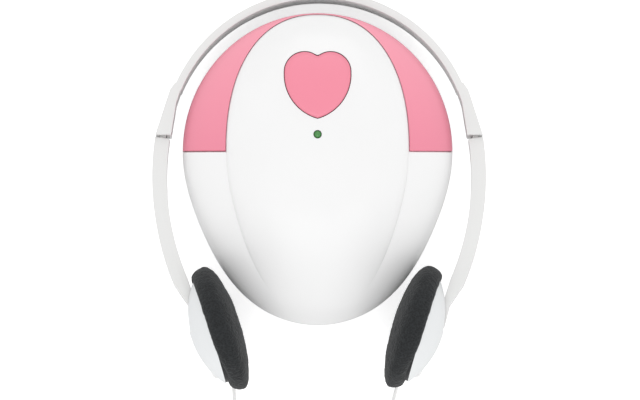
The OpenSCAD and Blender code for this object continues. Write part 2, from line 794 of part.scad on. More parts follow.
module arm(s) {
    tip = cup_point(pivot_n, pivot_d);
    out_end = arm_point(arm_r, -arm_turn);
    in_end = arm_point(arm_r - arm_t, -arm_turn);
    low_out = cup_point(-4.9, -12.6);
    low_in = cup_point(-1.9, -21.5);
    n = [cos(cup_angle), sin(cup_angle)];
    color("#efeff0") headset_plane() mirror([s > 0 ? 1 : 0, 0, 0]) {
        difference() {
            slab(arm_w) union() {
                translate([arm_u, -arm_drop])
                    ring_sector(arm_r, arm_t, seam_a - 0.1, -arm_turn - 0.2);
                polygon([out_end, low_out, low_in, in_end]);
                polygon([low_out, tip - eye_r * n, tip + (eye_r - 0.8) * n,
                    cup_point(-1.9, -8), low_in]);
                translate(tip) circle(eye_r);
            }
            translate([tip.x, tip.y, -20]) cylinder(r = pin_r + pin_gap, h = 40);
        }
        tongue_slot(0, tongue_l);
    }
}

// ---- Ear cups, in their own frame ----
cap_r = (cup_r * cup_r + cup_depth * cup_depth) / (2 * cup_depth);

// Pivot pin's place in the cup frame, for side s
function pin_x() = -pivot_d;
function pin_z(s) = pivot_n - cup_in(s);

module cap_solid(r) {
    intersection() {
        translate([0, 0, cap_r - cup_depth]) sphere(r, $fn = 96);
        translate([0, 0, -20]) cylinder(r = 40, h = 20);
    }
}

module cup(s) {
    slot_w = arm_w + 2 * slot_gap;
    color("#ececee") cup_frame(s) difference() {
        union() {
            difference() {
                cap_solid(cap_r);
                cap_solid(cap_r - cup_wall);
            }
            intersection() {
                cap_solid(cap_r - 0.2);
                for (k = [-1, 1]) translate([pin_x() - 3, k * (slot_w / 2 + ear_t / 2) - ear_t / 2,
                    -10]) cube([6, ear_t, 9.6]);
            }
        }
        translate([pin_x() - 2.6, -slot_w / 2, -20]) cube([40, slot_w, 21]);
        translate([pin_x(), 0, pin_z(s)]) rotate([90, 0, 0])
            cylinder(r = pin_r + 0.02, h = pin_len + 2 * seat, center = true);
        boot_place() translate([0, 0, -2]) cylinder(r = boot_r + seat, h = 20);
    }
}

boot_r = 1.4;
boot_l = 7;
boot_start = 15;
boot_z = -3.2;
boot_turn = 55;

// The cord leaves the ear cup low on its rim, pointing down and out
module boot_place() {
    rotate([0, 0, 180]) rotate([0, 0, boot_turn]) translate([boot_start, 0, boot_z])
        rotate([0, 90, 0]) children();
}

module boot(s) {
    color("#f4f4f5") cup_frame(s) boot_place() {
        cylinder(r = boot_r, h = 3);
        translate([0, 0, 3]) cylinder(r1 = boot_r, r2 = leg_d / 2 + 0.2, h = boot_l - 3);
    }
}

module pivot_pin(s) {
    color("#aeb1b6") cup_frame(s) translate([pin_x(), 0, pin_z(s)]) rotate([90, 0, 0])
        cylinder(r = pin_r, h = pin_len, center = true);
}

baffle_h = 5.2;
baffle_front = 1.2;
module baffle() {
    color("#232426") difference() {
        cylinder(r = cup_r - 0.6, h = baffle_h);
        translate([0, 0, -1]) cylinder(r = driver_r + seat, h = baffle_h - baffle_front + 1);
        for (a = [0 : 60 : 300]) rotate(a) translate([7, 0, 0]) cylinder(r = 1.3, h = 20);
        cylinder(r = 1.3, h = 20);
    }
}

module driver() {
    color("#7d8187") {
        translate([0, 0, 0.6]) cylinder(r = driver_r, h = baffle_h - baffle_front - 0.6);
    }
}

// Half section of the foam pad: a low crown, a full rim and a hollow for the baffle
module foam_section() {
    hollow_r = cup_r + 0.3;
    rim_z = 0.4 * pad_crown;
    back_z = -0.6;
    bulge = 0.9 * (pad_r - hollow_r);
    crown = [for (a = [0 : 6 : 90]) [pad_r * pow(cos(a), 0.9),
        rim_z + (pad_crown - rim_z) * sin(a)]];
    side = [for (a = [-90 : 10 : -10]) [pad_r - bulge + bulge * cos(a),
        rim_z + (rim_z - back_z) * sin(a)]];
    polygon(concat([[hollow_r, back_z]], side, crown, [[0, baffle_h + 0.3],
        [hollow_r, baffle_h + 0.3]]));
}

module foam(s) {
    color("#33363a") difference() {
        cup_frame(s) rotate_extrude($fn = 96) foam_section();
        translate([-500, -500, -60]) cube([1000, 1000, 60]);
    }
}

// ---- Cords ----
leg_z = leg_d / 2;
hump = leg_z + leg_d + 0.4;
// Where each leg leaves its boot, and which way it points
function plane_to_world(p) = [headset_x + p.x, p.y * cos(tilt) + p.z * sin(tilt),
    plane_z - p.y * sin(tilt) + p.z * cos(tilt)];
function boot_point(s, r) = let (
        d = r * cos(boot_turn),
        w = -r * sin(boot_turn),
        p = cup_point(boot_z + cup_in(s), d))
    plane_to_world([s > 0 ? -p.x : p.x, p.y, w]);
function boot_end(s) = [for (r = [0, leg_d]) boot_point(s, boot_start + boot_l + r)];

// The legs' routes are drawn for ear cups at route_u and route_v, and follow the cups.
route_u = 42.9;
route_v = 76.5;
function led(p) = [for (i = [0 : len(p) - 1])
    let (share = max(0, min(1, (len(p) - 3 - i) * 0.4)))
    [p[i].x * cup_u / route_u, p[i].y - share * (cup_v - route_v), p[i].z]];

left_route = concat(boot_end(-1), led([[-40.4, -93.6, 4.6], [-38.2, -94, 2.4],
    [-35.4, -94.6, 1.2], [-33.6, -96.6, leg_z], [-33, -100, leg_z], [-33, -105, leg_z],
    [-35, -111, leg_z], [-41, -118, leg_z], [-47, -126, leg_z], [-49, -136, leg_z],
    [-46, -147, leg_z], [-37, -155, leg_z], [-26, -157, leg_z], [-15, -152, leg_z],
    [-9, -142, leg_z], [-10, -130, leg_z], [-17, -120, leg_z], [-28, -118, leg_z],
    [-37, -124, leg_z], [-41, -134, leg_z], [-38, -144, leg_z], [-34, -150, 1.6],
    [-29, -156.5, hump], [-22, -162, 1.8], [-13, -165, leg_z], [-6, -168, leg_z],
    [-2, -173, 1.2], [-1.2, -178, 2], [-1.2, -180, 2]]));
right_route = concat(boot_end(1), led([[39.8, -93, 4.6], [37.6, -93.4, 2.4],
    [34.6, -94, 1.2], [32, -96, leg_z], [30.8, -99.6, leg_z], [30, -105, leg_z],
    [33, -111, leg_z], [40, -117, leg_z], [47, -125, leg_z], [50, -135, leg_z],
    [47, -147, leg_z], [38, -155, leg_z], [27, -157, leg_z], [16, -152, leg_z],
    [10, -142, leg_z], [11, -130, leg_z], [18, -120, leg_z], [28, -118, leg_z],
    [38, -123, leg_z], [42, -134, leg_z], [38, -144, leg_z], [34, -150, 1.6],
    [29, -156.5, hump], [22, -162, 1.8], [13, -165, leg_z], [6, -168, leg_z],
    [2, -173, 1.2], [1.2, -178, 2], [1.2, -180, 2]]));

splitter = [6, 10, 4];        // width, length and height of the Y piece
splitter_y = -180;
coil_centre = [31, -184];
coil_step = lead_d + coil_gap;
coil_layers = 4;
coil_lift = 0.6;              // the tie under the coil
coil_z = coil_lift + lead_d / 2;
coil_out = coil_r + coil_turns * coil_step / 2;
coil_rings = 24;
coil_start = -90;
lead_z = lead_d / 2;

function soft_stair(s) = let (k = round(s / coil_turns), f = (s - k * coil_turns) * 2)
    k <= 0 || k >= coil_layers ? (k <= 0 ? 0 : coil_layers - 1)
    : k - 1 + smooth_step(f + 0.5);
function coil_at(s) = let (
        k = floor(s / coil_turns),
        f = s - k * coil_turns,
        r = k % 2 == 0 ? coil_out - f * coil_step : coil_out - (coil_turns - f) * coil_step,
        a = coil_start + 360 * s)
    [coil_centre.x + r * cos(a), coil_centre.y + r * sin(a), coil_z + coil_step * soft_stair(s)];
coil_end = coil_layers * coil_turns;
coil_path = [for (i = [0 : coil_end * coil_rings]) coil_at(i / coil_rings)];
coil_first = coil_path[0];
coil_last = coil_path[len(coil_path) - 1];
coil_in = unit(coil_path[1] - coil_path[0]);
coil_out_dir = unit(coil_last - coil_path[len(coil_path) - 2]);
plug_y = -213;
plug_x = 38;
plug_r = 3.6;

lead_route = [[0, splitter_y - splitter.y, 2], [0, splitter_y - splitter.y - lead_d, 2],
    [1, -195, 1.5], [4, -198, lead_z], [9, -200.4, lead_z], [16, -201.2, lead_z],
    [23, -200.6, 1.2], coil_first - lead_d * coil_in, coil_first];
tail_route = [coil_last, coil_last + lead_d * coil_out_dir, [38, -199.8, 8.4],
    [43.6, -201.6, 7.6], [46.6, -205, 6.2], [46.4, -209.4, 4.8], [43.6, -212.4, 3.9],
    [plug_x + lead_d, plug_y, plug_r], [plug_x, plug_y, plug_r]];

function unit(v) = v / norm(v);
function tangent(p, i) = unit(p[min(i + 1, len(p) - 1)] - p[max(i - 1, 0)]);

// Points between the second and the third of four, on one smooth curve
function curve(p, q, r, s, t) = 0.5 * (2 * q + (r - p) * t + (2 * p - 5 * q + 4 * r - s) * t * t
    + (3 * q - p - 3 * r + s) * t * t * t);
function smooth_path(p, steps) = let (m = len(p) - 1)
    [for (i = [0 : m - 1]) for (k = [0 : (i == 0 || i == m - 1 ? 0 : steps - 1)])
        curve(p[max(i - 1, 0)], p[i], p[i + 1], p[min(i + 2, m)], k / steps), p[m]];

module tube(path, d, sides) {
    n = len(path);
    rings = [for (i = [0 : n - 1]) let (
            t = i == 0 ? unit(path[1] - path[0])
                : i == n - 1 ? unit(path[n - 1] - path[n - 2]) : tangent(path, i),
            side = unit(cross(t, [0, 0, 1])),
            up = cross(side, t))
        [for (k = [0 : sides - 1]) let (a = (k + 0.5) * 360 / sides)
            path[i] + d / 2 * (cos(a) * side + sin(a) * up)]];
    ring_stack([for (i = [n - 1 : -1 : 0]) rings[i]], path[n - 1], path[0]);
}

module leg_left() {
    color("#f3f3f4") tube(smooth_path(left_route, 1), leg_d, 8);
}

module leg_right() {
    color("#f3f3f4") tube(smooth_path(right_route, 1), leg_d, 8);
}

module cord_splitter() {
    color("#efeff0") difference() {
        translate([-splitter.x / 2, splitter_y - splitter.y, 0]) cube(splitter);
        for (k = [-1, 1]) translate([k * splitter.x / 2, splitter_y - splitter.y, -1])
            rotate([0, 0, 45]) cube([1.6, 1.6, 10], center = true);
    }
}

module main_lead() {
    color("#f3f3f4") tube(smooth_path(lead_route, 2), lead_d, 8);
}

module lead_coil() {
    n = len(coil_path);
    apart = coil_rings / 2;
    least = min([for (i = [0 : n - apart - 1]) for (j = [i + apart : n - 1])
        norm(coil_path[i] - coil_path[j])]) - lead_d;
    echo(least_gap_in_coil = least);
    color("#f3f3f4") tube(coil_path, lead_d, 6);
}

// A flat loop of tape round one side of the coil
module coil_tie() {
    t = 0.5;
    w = 5;
    in_r = coil_out - coil_turns * coil_step - lead_d / 2 - 0.3;
    out_r = coil_out + lead_d / 2 + 0.3;
    high = coil_z + (coil_layers - 1) * coil_step + lead_d / 2 + 0.3;
    color("#e6e6e8") translate([coil_centre.x, coil_centre.y, 0]) rotate([0, 0, 90])
        translate([0, -w / 2, 0]) difference() {
            translate([in_r - t, 0, 0]) cube([out_r - in_r + 2 * t, w, high + t]);
            translate([in_r, -1, t]) cube([out_r - in_r, w + 2, high - t]);
        }
}

module lead_tail() {
    color("#f3f3f4") tube(smooth_path(tail_route, 2), lead_d, 8);
}

plug_grip = 16;
plug_neck = 6;
module plug_axis() {
    translate([plug_x, plug_y, plug_r]) rotate([0, -90, 0]) children();
}

module plug_body() {
    color("#ececee") plug_axis() {
        cylinder(r1 = lead_d / 2 + 0.4, r2 = 2.4, h = plug_neck);
        translate([0, 0, plug_neck]) cylinder(r = plug_r, h = plug_grip);
    }
}

// The 3.5 mm plug's contacts, from the sleeve to the tip
module plug_contacts() {
    r = 1.75;
    color("#c9cbd0") plug_axis() translate([0, 0, plug_neck + plug_grip])
        rotate_extrude() polygon([[0, 0], [r + 0.7, 0], [r + 0.7, 0.8], [r, 0.8], [r, 7],
            [r - 0.15, 7.1], [r - 0.15, 7.7], [r, 7.8], [r, 9.3], [r - 0.15, 9.4],
            [r - 0.15, 10], [r, 10.1], [r, 11.2], [1.1, 12.2], [1.35, 12.9], [0.6, 14],
            [0, 14]]);
}

module arm_left() {
    arm(-1);
}

module arm_right() {
    arm(1);
}

module cup_left() {
    cup(-1);
}

module cup_right() {
    cup(1);
}

module baffle_left() {
    cup_frame(-1) baffle();
}

module baffle_right() {
    cup_frame(1) baffle();
}

module driver_left() {
    cup_frame(-1) driver();
}

module driver_right() {
    cup_frame(1) driver();
}

module foam_left() {
    foam(-1);
}

module foam_right() {
    foam(1);
}

module pivot_pin_left() {
    pivot_pin(-1);
}

module pivot_pin_right() {
    pivot_pin(1);
}

module boot_left() {
    boot(-1);
}

module boot_right() {
    boot(1);
}

top_shell();
pink_collar();
bottom_shell();
heart_button();
switch_plunger();
push_switch();
status_light();
light_holder();
circuit_board();
board_parts();
battery_door();
battery_upper();
battery_lower();
battery_contacts();
probe_ring();
probe_window();
crystals();
acoustic_backing();
probe_wires();
headphone_socket();
volume_wheel();
volume_shaft();
potentiometer();
shell_screws();
board_screws();
headband();
arm_left();
arm_right();
cup_left();
cup_right();
baffle_left();
baffle_right();
driver_left();
driver_right();
foam_left();
foam_right();
pivot_pin_left();
pivot_pin_right();
boot_left();
boot_right();
leg_left();
leg_right();
cord_splitter();
main_lead();
lead_coil();
coil_tie();
lead_tail();
plug_body();
plug_contacts();
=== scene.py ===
import math

import bmesh
import bpy
import numpy as np
from mathutils import Matrix, Vector, noise


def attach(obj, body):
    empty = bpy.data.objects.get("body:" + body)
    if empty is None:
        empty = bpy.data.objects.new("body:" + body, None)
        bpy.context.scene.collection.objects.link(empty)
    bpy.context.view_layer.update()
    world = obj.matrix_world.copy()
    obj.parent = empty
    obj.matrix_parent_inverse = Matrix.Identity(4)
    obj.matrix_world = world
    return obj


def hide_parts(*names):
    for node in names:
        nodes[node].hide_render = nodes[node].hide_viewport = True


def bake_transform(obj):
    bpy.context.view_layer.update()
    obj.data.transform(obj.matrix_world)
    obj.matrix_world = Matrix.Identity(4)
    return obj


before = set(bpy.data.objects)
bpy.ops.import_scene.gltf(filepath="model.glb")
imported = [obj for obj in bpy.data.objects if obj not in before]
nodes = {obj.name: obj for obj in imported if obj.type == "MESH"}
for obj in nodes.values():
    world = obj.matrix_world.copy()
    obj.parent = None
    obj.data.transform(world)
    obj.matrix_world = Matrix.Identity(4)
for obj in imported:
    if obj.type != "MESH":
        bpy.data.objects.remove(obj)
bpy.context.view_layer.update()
MM = 0.001


# ---- Camera, straight above the monitor ----
VIEW_X, VIEW_Y = 0.94, -24.06       # middle of the picture, in mm
VIEW_WIDTH = 251.0
CAMERA_HEIGHT = 3.2
camera_data = bpy.data.cameras.new("camera")
camera_data.sensor_width = 36
camera_data.lens = 36 * (CAMERA_HEIGHT - 0.02) / (VIEW_WIDTH * MM)
camera_data.clip_end = 50
camera = bpy.data.objects.new("camera", camera_data)
camera.location = (VIEW_X * MM, VIEW_Y * MM, CAMERA_HEIGHT)
bpy.context.scene.collection.objects.link(camera)
bpy.context.scene.camera = camera


# ---- Small helpers for meshes ----
def piece(name, verts_mm, faces):
    mesh = bpy.data.meshes.new(name)
    mesh.from_pydata([tuple(c * MM for c in v) for v in verts_mm], [], faces)
    obj = bpy.data.objects.new(name, mesh)
    bpy.context.scene.collection.objects.link(obj)
    return obj


def outward(obj, merge=1e-6):
    """Merges doubles and turns every face outwards."""
    bm = bmesh.new()
    bm.from_mesh(obj.data)
    bmesh.ops.remove_doubles(bm, verts=bm.verts, dist=merge)
    bmesh.ops.recalc_face_normals(bm, faces=bm.faces)
    bm.to_mesh(obj.data)
    bm.free()
    return obj


def smooth(obj, angle=32):
    obj.data.shade_smooth()
    obj.data.set_sharp_from_angle(angle=math.radians(angle))
    return obj


def apply_modifiers(obj):
    graph = bpy.context.evaluated_depsgraph_get()
    made = bpy.data.meshes.new_from_object(obj.evaluated_get(graph))
    obj.modifiers.clear()
    old = obj.data
    obj.data = made
    bpy.data.meshes.remove(old)
    return obj


def stacked_rings(name, rings, first=None, last=None):
    """A closed skin over rings of points of equal count, with a point at either end."""
    n, verts, faces = len(rings[0]), [], []
    for ring in rings:
        verts.extend(ring)
    for i in range(len(rings) - 1):
        a, b = i * n, (i + 1) * n
        faces += [(a + k, a + (k + 1) % n, b + (k + 1) % n, b + k) for k in range(n)]
    for ring, point in ((0, first), (len(rings) - 1, last)):
        if point is not None:
            verts.append(point)
            faces += [(ring * n + k, ring * n + (k + 1) % n, len(verts) - 1) for k in range(n)]
    return outward(piece(name, verts, faces))


def cut(obj, cutters, operation="DIFFERENCE"):
    for cutter in cutters:
        step = obj.modifiers.new("cut", "BOOLEAN")
        step.object, step.operation, step.solver = cutter, operation, "EXACT"
    apply_modifiers(obj)
    for cutter in cutters:
        bpy.data.objects.remove(cutter)
    return obj


def box_cutter(low, high):
    x0, y0, z0 = low
    x1, y1, z1 = high
    verts = [(x, y, z) for x in (x0, x1) for y in (y0, y1) for z in (z0, z1)]
    faces = [(0, 1, 3, 2), (4, 6, 7, 5), (0, 4, 5, 1), (2, 3, 7, 6), (0, 2, 6, 4), (1, 5, 7, 3)]
    return outward(piece("cutter", verts, faces))


def prism(name, outline, z0, z1):
    n = len(outline)
    verts = [(x, y, z0) for x, y in outline] + [(x, y, z1) for x, y in outline]
    faces = [tuple(range(n - 1, -1, -1)), tuple(range(n, 2 * n))]
    faces += [(k, (k + 1) % n, n + (k + 1) % n, n + k) for k in range(n)]
    return outward(piece(name, verts, faces))


def circle(cx, cy, r, count=64):
    return [(cx + r * math.cos(2 * math.pi * k / count), cy + r * math.sin(2 * math.pi * k / count))
            for k in range(count)]


# ---- Cords: their routes in mm, as they lie on the surface ----
TILT = math.radians(7.548)
PLANE_Z = 14.53
HEADSET_X = 0.6
LEG_D, LEAD_D = 1.4, 2.0
LEG_Z, LEAD_Z = LEG_D / 2, LEAD_D / 2
HUMP = LEG_Z + LEG_D + 0.4
CUP_ANGLE = math.radians(17.5)
CUP_U, CUP_V = 42.9, 76.5
RIGHT_CUP_IN = 2.0


def headset_place(u, v, w):
    """A point of the headset's own plane, in the row frame."""
    return (HEADSET_X + u, v * math.cos(TILT) + w * math.sin(TILT),
            PLANE_Z - v * math.sin(TILT) + w * math.cos(TILT))


def cup_place(side, n, down, across):
    """A point of an ear cup: n towards the ear, down along the rim, across out of the plane."""
    u = -CUP_U + n * math.cos(CUP_ANGLE) + down * math.sin(CUP_ANGLE)
    v = -CUP_V + n * math.sin(CUP_ANGLE) - down * math.cos(CUP_ANGLE)
    return headset_place(-u if side > 0 else u, v, across)


def boot_end(side):
    turn = math.radians(55)
    inward = RIGHT_CUP_IN if side > 0 else 0
    return [cup_place(side, -3.2 + inward, r * math.cos(turn), -r * math.sin(turn))
            for r in (22.0, 22.0 + LEG_D)]


LEFT_ROUTE = boot_end(-1) + [
    (-40.4, -93.6, 4.6), (-38.2, -94, 2.4), (-35.4, -94.6, 1.2), (-33.6, -96.6, LEG_Z),
    (-33, -100, LEG_Z), (-33, -105, LEG_Z), (-35, -111, LEG_Z), (-41, -118, LEG_Z),
    (-47, -126, LEG_Z), (-49, -136, LEG_Z), (-46, -147, LEG_Z), (-37, -155, LEG_Z),
    (-26, -157, LEG_Z), (-15, -152, LEG_Z), (-9, -142, LEG_Z), (-10, -130, LEG_Z),
    (-17, -120, LEG_Z), (-28, -118, LEG_Z), (-37, -124, LEG_Z), (-41, -134, LEG_Z),
    (-38, -144, LEG_Z), (-34, -150, 1.6), (-29, -156.5, HUMP), (-22, -162, 1.8),
    (-13, -165, LEG_Z), (-6, -168, LEG_Z), (-2, -173, 1.2), (-1.2, -178, 2), (-1.2, -180, 2)]
RIGHT_ROUTE = boot_end(1) + [
    (39.8, -93, 4.6), (37.6, -93.4, 2.4), (34.6, -94, 1.2), (32, -96, LEG_Z),
    (30.8, -99.6, LEG_Z), (30, -105, LEG_Z), (33, -111, LEG_Z), (40, -117, LEG_Z),
    (47, -125, LEG_Z), (50, -135, LEG_Z), (47, -147, LEG_Z), (38, -155, LEG_Z),
    (27, -157, LEG_Z), (16, -152, LEG_Z), (10, -142, LEG_Z), (11, -130, LEG_Z),
    (18, -120, LEG_Z), (28, -118, LEG_Z), (38, -123, LEG_Z), (42, -134, LEG_Z),
    (38, -144, LEG_Z), (34, -150, 1.6), (29, -156.5, HUMP), (22, -162, 1.8),
    (13, -165, LEG_Z), (6, -168, LEG_Z), (2, -173, 1.2), (1.2, -178, 2), (1.2, -180, 2)]

COIL_X, COIL_Y, COIL_R, COIL_TURNS, COIL_LAYERS = 31, -184, 12, 3, 4
COIL_STEP = LEAD_D + 0.5
COIL_OUT = COIL_R + COIL_TURNS * COIL_STEP / 2
COIL_Z = 0.6 + LEAD_D / 2
PLUG_X, PLUG_Y, PLUG_R = 38, -213, 3.6


def smooth_step(v):
    k = max(0.0, min(1.0, v))
    return k * k * (3 - 2 * k)


def coil_layer(s):
    k = round(s / COIL_TURNS)
    f = (s - k * COIL_TURNS) * 2
    if k <= 0:
        return 0
    if k >= COIL_LAYERS:
        return COIL_LAYERS - 1
    return k - 1 + smooth_step(f + 0.5)


def coil_at(s):
    k = math.floor(s / COIL_TURNS)
    f = s - k * COIL_TURNS
    r = COIL_OUT - (f if k % 2 == 0 else COIL_TURNS - f) * COIL_STEP
    a = math.radians(-90 + 360 * s)
    return (COIL_X + r * math.cos(a), COIL_Y + r * math.sin(a), COIL_Z + COIL_STEP * coil_layer(s))


def flowing(points, steps):
    """One smooth curve through the points."""
    out, m = [], len(points) - 1
    for i in range(m):
        p, q, r, s = (np.array(points[max(0, min(m, j))]) for j in (i - 1, i, i + 1, i + 2))
        for k in range(steps):
            t = k / steps
            out.append(tuple(0.5 * (2 * q + (r - p) * t + (2 * p - 5 * q + 4 * r - s) * t * t
                                    + (3 * q - p - 3 * r + s) * t ** 3)))
    return out + [tuple(points[-1])]


def towards(a, b, length):
    d = np.array(b) - np.array(a)
    return tuple(np.array(a) + d / np.linalg.norm(d) * length)


coil_path = [coil_at(i / 48) for i in range(COIL_LAYERS * COIL_TURNS * 48 + 1)]
lead_in = flowing([(0, -190, 2), (0, -192, 2), (1, -195, 1.5), (4, -198, LEAD_Z), (9, -200.4, LEAD_Z),
                   (16, -201.2, LEAD_Z), (23, -200.6, 1.2),
                   towards(coil_path[0], coil_path[1], -LEAD_D), coil_path[0]], 6)
lead_out = flowing([coil_path[-1], towards(coil_path[-1], coil_path[-2], -LEAD_D), (38, -199.8, 8.4),
                    (43.6, -201.6, 7.6), (46.6, -205, 6.2), (46.4, -209.4, 4.8), (43.6, -212.4, 3.9),
                    (PLUG_X + LEAD_D, PLUG_Y, PLUG_R), (PLUG_X, PLUG_Y, PLUG_R)], 6)
lead_path = lead_in[:-1] + coil_path + lead_out[1:]


def tube(name, path, diameter, sides=12):
    rings, p = [], [Vector(q) for q in path]
    for i, q in enumerate(p):
        t = (p[min(i + 1, len(p) - 1)] - p[max(i - 1, 0)]).normalized()
        side = t.cross(Vector((0, 0, 1))).normalized()
        up = side.cross(t)
        rings.append([tuple(q + diameter / 2 * (math.cos(a) * side + math.sin(a) * up))
                      for a in (2 * math.pi * k / sides for k in range(sides))])
    return smooth(stacked_rings(name, rings, tuple(p[0]), tuple(p[-1])), 40)


cords = {}
for side, route in (("left", LEFT_ROUTE), ("right", RIGHT_ROUTE)):
    whole = flowing(route, 6)
    split = next(i for i, q in enumerate(whole) if q[1] < -103.5)
    top = tube("cord_top_" + side, whole[:split + 1], LEG_D)
    rest = tube("cord_leg_" + side, whole[split:], LEG_D)
    cords[side] = (top, rest, whole, split)
lead = tube("cord_lead", lead_path, LEAD_D)


# ---- Colours and materials ----
def srgb(code):
    """A colour written in sRGB hex, as linear values."""
    parts = [int(code[i:i + 2], 16) / 255 for i in (1, 3, 5)]
    return [c / 12.92 if c <= 0.04045 else ((c + 0.055) / 1.055) ** 2.4 for c in parts] + [1.0]


def add(tree, kind, settings=None, **links):
    """Adds a node, sets its values and links its inputs. Input names use _ for spaces."""
    node = tree.nodes.new(kind)
    for key, value in (settings or {}).items():
        if isinstance(key, int) or key in node.inputs:
            node.inputs[key].default_value = value
        else:
            setattr(node, key, value)
    for key, socket in links.items():
        name = key.replace("_", " ")
        tree.links.new(socket, node.inputs[int(key[1:])] if key[1:].isdigit() else node.inputs[name])
    return node


def surface(name):
    """A material with its shader, its tree and the piece's own coordinates in metres."""
    material = bpy.data.materials.new(name)
    material.use_nodes = True
    tree = material.node_tree
    shader = tree.nodes["Principled BSDF"]
    place = tree.nodes.new("ShaderNodeTexCoord").outputs["Object"]
    return material, tree, shader, place


def moulded_plastic(name, code, roughness, grain_mm=0.9, grain=0.06, mottle=0.02, coat=0.0, ior=1.46,
                    painted_highlight_code=None, span=(0, 1)):
    """Moulded plastic: an even colour, a faint flow in it, and a fine skin that softens the light. Given
    a second colour, it fades in along Y across span (in mm): a painted highlight.
    """
    material, tree, shader, place = surface(name)
    tone = srgb(code)
    flow = add(tree, "ShaderNodeTexNoise", {"Scale": 1 / 0.03, "Detail": 3.0}, Vector=place)
    shade = add(tree, "ShaderNodeMix", {"data_type": "RGBA", 6: tone,
                                        7: [c * (1 - mottle * 2) for c in tone[:3]] + [1]},
                i0=flow.outputs["Fac"])
    # Painted light: the base colour shades along Y towards the second, paler colour, standing in for
    # light on the upper end
    if painted_highlight_code:
        along = add(tree, "ShaderNodeSeparateXYZ", None, Vector=place)
        fade = add(tree, "ShaderNodeMapRange", {"From Min": span[0] * MM, "From Max": span[1] * MM},
                   Value=along.outputs["Y"])
        shade = add(tree, "ShaderNodeMix", {"data_type": "RGBA", 7: srgb(painted_highlight_code)},
                    i0=fade.outputs["Result"], i6=shade.outputs[2])
    tree.links.new(shade.outputs[2], shader.inputs["Base Color"])
    skin = add(tree, "ShaderNodeTexNoise", {"Scale": 1 / (grain_mm * MM), "Detail": 2.0}, Vector=place)
    bump = add(tree, "ShaderNodeBump", {"Strength": grain, "Distance": 0.05 * MM},
               Height=skin.outputs["Fac"])
    tree.links.new(bump.outputs["Normal"], shader.inputs["Normal"])
    rough = add(tree, "ShaderNodeMapRange", {"To Min": roughness - 0.03, "To Max": roughness + 0.03},
                Value=skin.outputs["Fac"])
    tree.links.new(rough.outputs["Result"], shader.inputs["Roughness"])
    shader.inputs["IOR"].default_value = ior
    shader.inputs["Coat Weight"].default_value = coat
    shader.inputs["Coat Roughness"].default_value = 0.12
    return material


def metal(name, code, roughness, streak_mm=0.25):
    """Turned or drawn metal: fine streaks in its roughness."""
    material, tree, shader, place = surface(name)
    shader.inputs["Metallic"].default_value = 1.0
    lines = add(tree, "ShaderNodeTexNoise", {"Scale": 1 / (streak_mm * MM), "Detail": 2.0}, Vector=place)
    darker = [c * 0.85 for c in srgb(code)[:3]] + [1]
    tint = add(tree, "ShaderNodeMix", {"data_type": "RGBA", 6: srgb(code), 7: darker},
               i0=lines.outputs["Fac"])
    tree.links.new(tint.outputs[2], shader.inputs["Base Color"])
    rough = add(tree, "ShaderNodeMapRange", {"To Min": roughness - 0.06, "To Max": roughness + 0.06},
                Value=lines.outputs["Fac"])
    tree.links.new(rough.outputs["Result"], shader.inputs["Roughness"])
    return material


def open_cell_foam(name):
    """Open-cell polyether foam, cut and skived: dark cells 0.75 mm wide, coarser than real so that
    they show, with a few paler struts."""
    material, tree, shader, place = surface(name)
    warp = add(tree, "ShaderNodeTexNoise", {"Scale": 1 / (2 * MM), "Detail": 2.0}, Vector=place)
    moved = add(tree, "ShaderNodeMix", {"data_type": "VECTOR", 0: 0.0003}, i4=place,
                i5=warp.outputs["Color"])
    cells = add(tree, "ShaderNodeTexVoronoi", {"Scale": 1 / (0.75 * MM), "feature": "F1"},
                Vector=moved.outputs[1])
    crumbs = add(tree, "ShaderNodeTexNoise", {"Scale": 1 / (0.5 * MM), "Detail": 3.0, "Roughness": 0.7},
                 Vector=place)
    tone = add(tree, "ShaderNodeValToRGB", Fac=cells.outputs["Distance"])
    tone.color_ramp.elements[0].color = srgb("#090A0B")
    tone.color_ramp.elements[1].color = srgb("#232628")
    tone.color_ramp.elements[1].position = 0.75
    specks = add(tree, "ShaderNodeValToRGB", Fac=crumbs.outputs["Fac"])
    specks.color_ramp.elements[0].position = 0.64
    specks.color_ramp.elements[0].color = (0, 0, 0, 1)
    specks.color_ramp.elements[1].position = 0.78
    specks.color_ramp.elements[1].color = (1, 1, 1, 1)
    mixed = add(tree, "ShaderNodeMix", {"data_type": "RGBA", 7: srgb("#484C51")},
                i0=specks.outputs["Color"], i6=tone.outputs["Color"])
    tree.links.new(mixed.outputs[2], shader.inputs["Base Color"])
    bump = add(tree, "ShaderNodeBump", {"Strength": 0.9, "Distance": 0.3 * MM},
               Height=cells.outputs["Distance"])
    tree.links.new(bump.outputs["Normal"], shader.inputs["Normal"])
    shader.inputs["Roughness"].default_value = 0.95
    shader.inputs["Sheen Weight"].default_value = 0.08
    shader.inputs["Sheen Roughness"].default_value = 0.5
    return material


LAMP_Y, LAMP_Z = 1.6, 35.8          # middle of the lamp's round top, in mm


def lens_plastic(name, code, highlight_mm=2.5):
    """Tinted diffusing epoxy of an indicator lamp, with painted light: a pale painted highlight at its
    middle, shading off to a deep green painted shade at its rim.
    """
    material, tree, shader, place = surface(name)
    scale = 1 / (highlight_mm * MM)
    centred = add(tree, "ShaderNodeMapping",
                  {"Location": (0, -LAMP_Y * MM * scale, -LAMP_Z * MM * scale),
                   "Scale": (scale, scale, scale)}, Vector=place)
    highlight_falloff = add(tree, "ShaderNodeTexGradient", {"gradient_type": "SPHERICAL"},
                Vector=centred.outputs["Vector"])
    # Painted light: pale green at the top of the dome as a highlight, deep green towards the rim as
    # shade
    tone = add(tree, "ShaderNodeMix", {"data_type": "RGBA", 6: srgb("#2F6B31"), 7: srgb(code)},
               i0=highlight_falloff.outputs["Fac"])
    tree.links.new(tone.outputs[2], shader.inputs["Base Color"])
    shader.inputs["Roughness"].default_value = 0.18
    shader.inputs["IOR"].default_value = 1.5
    return material


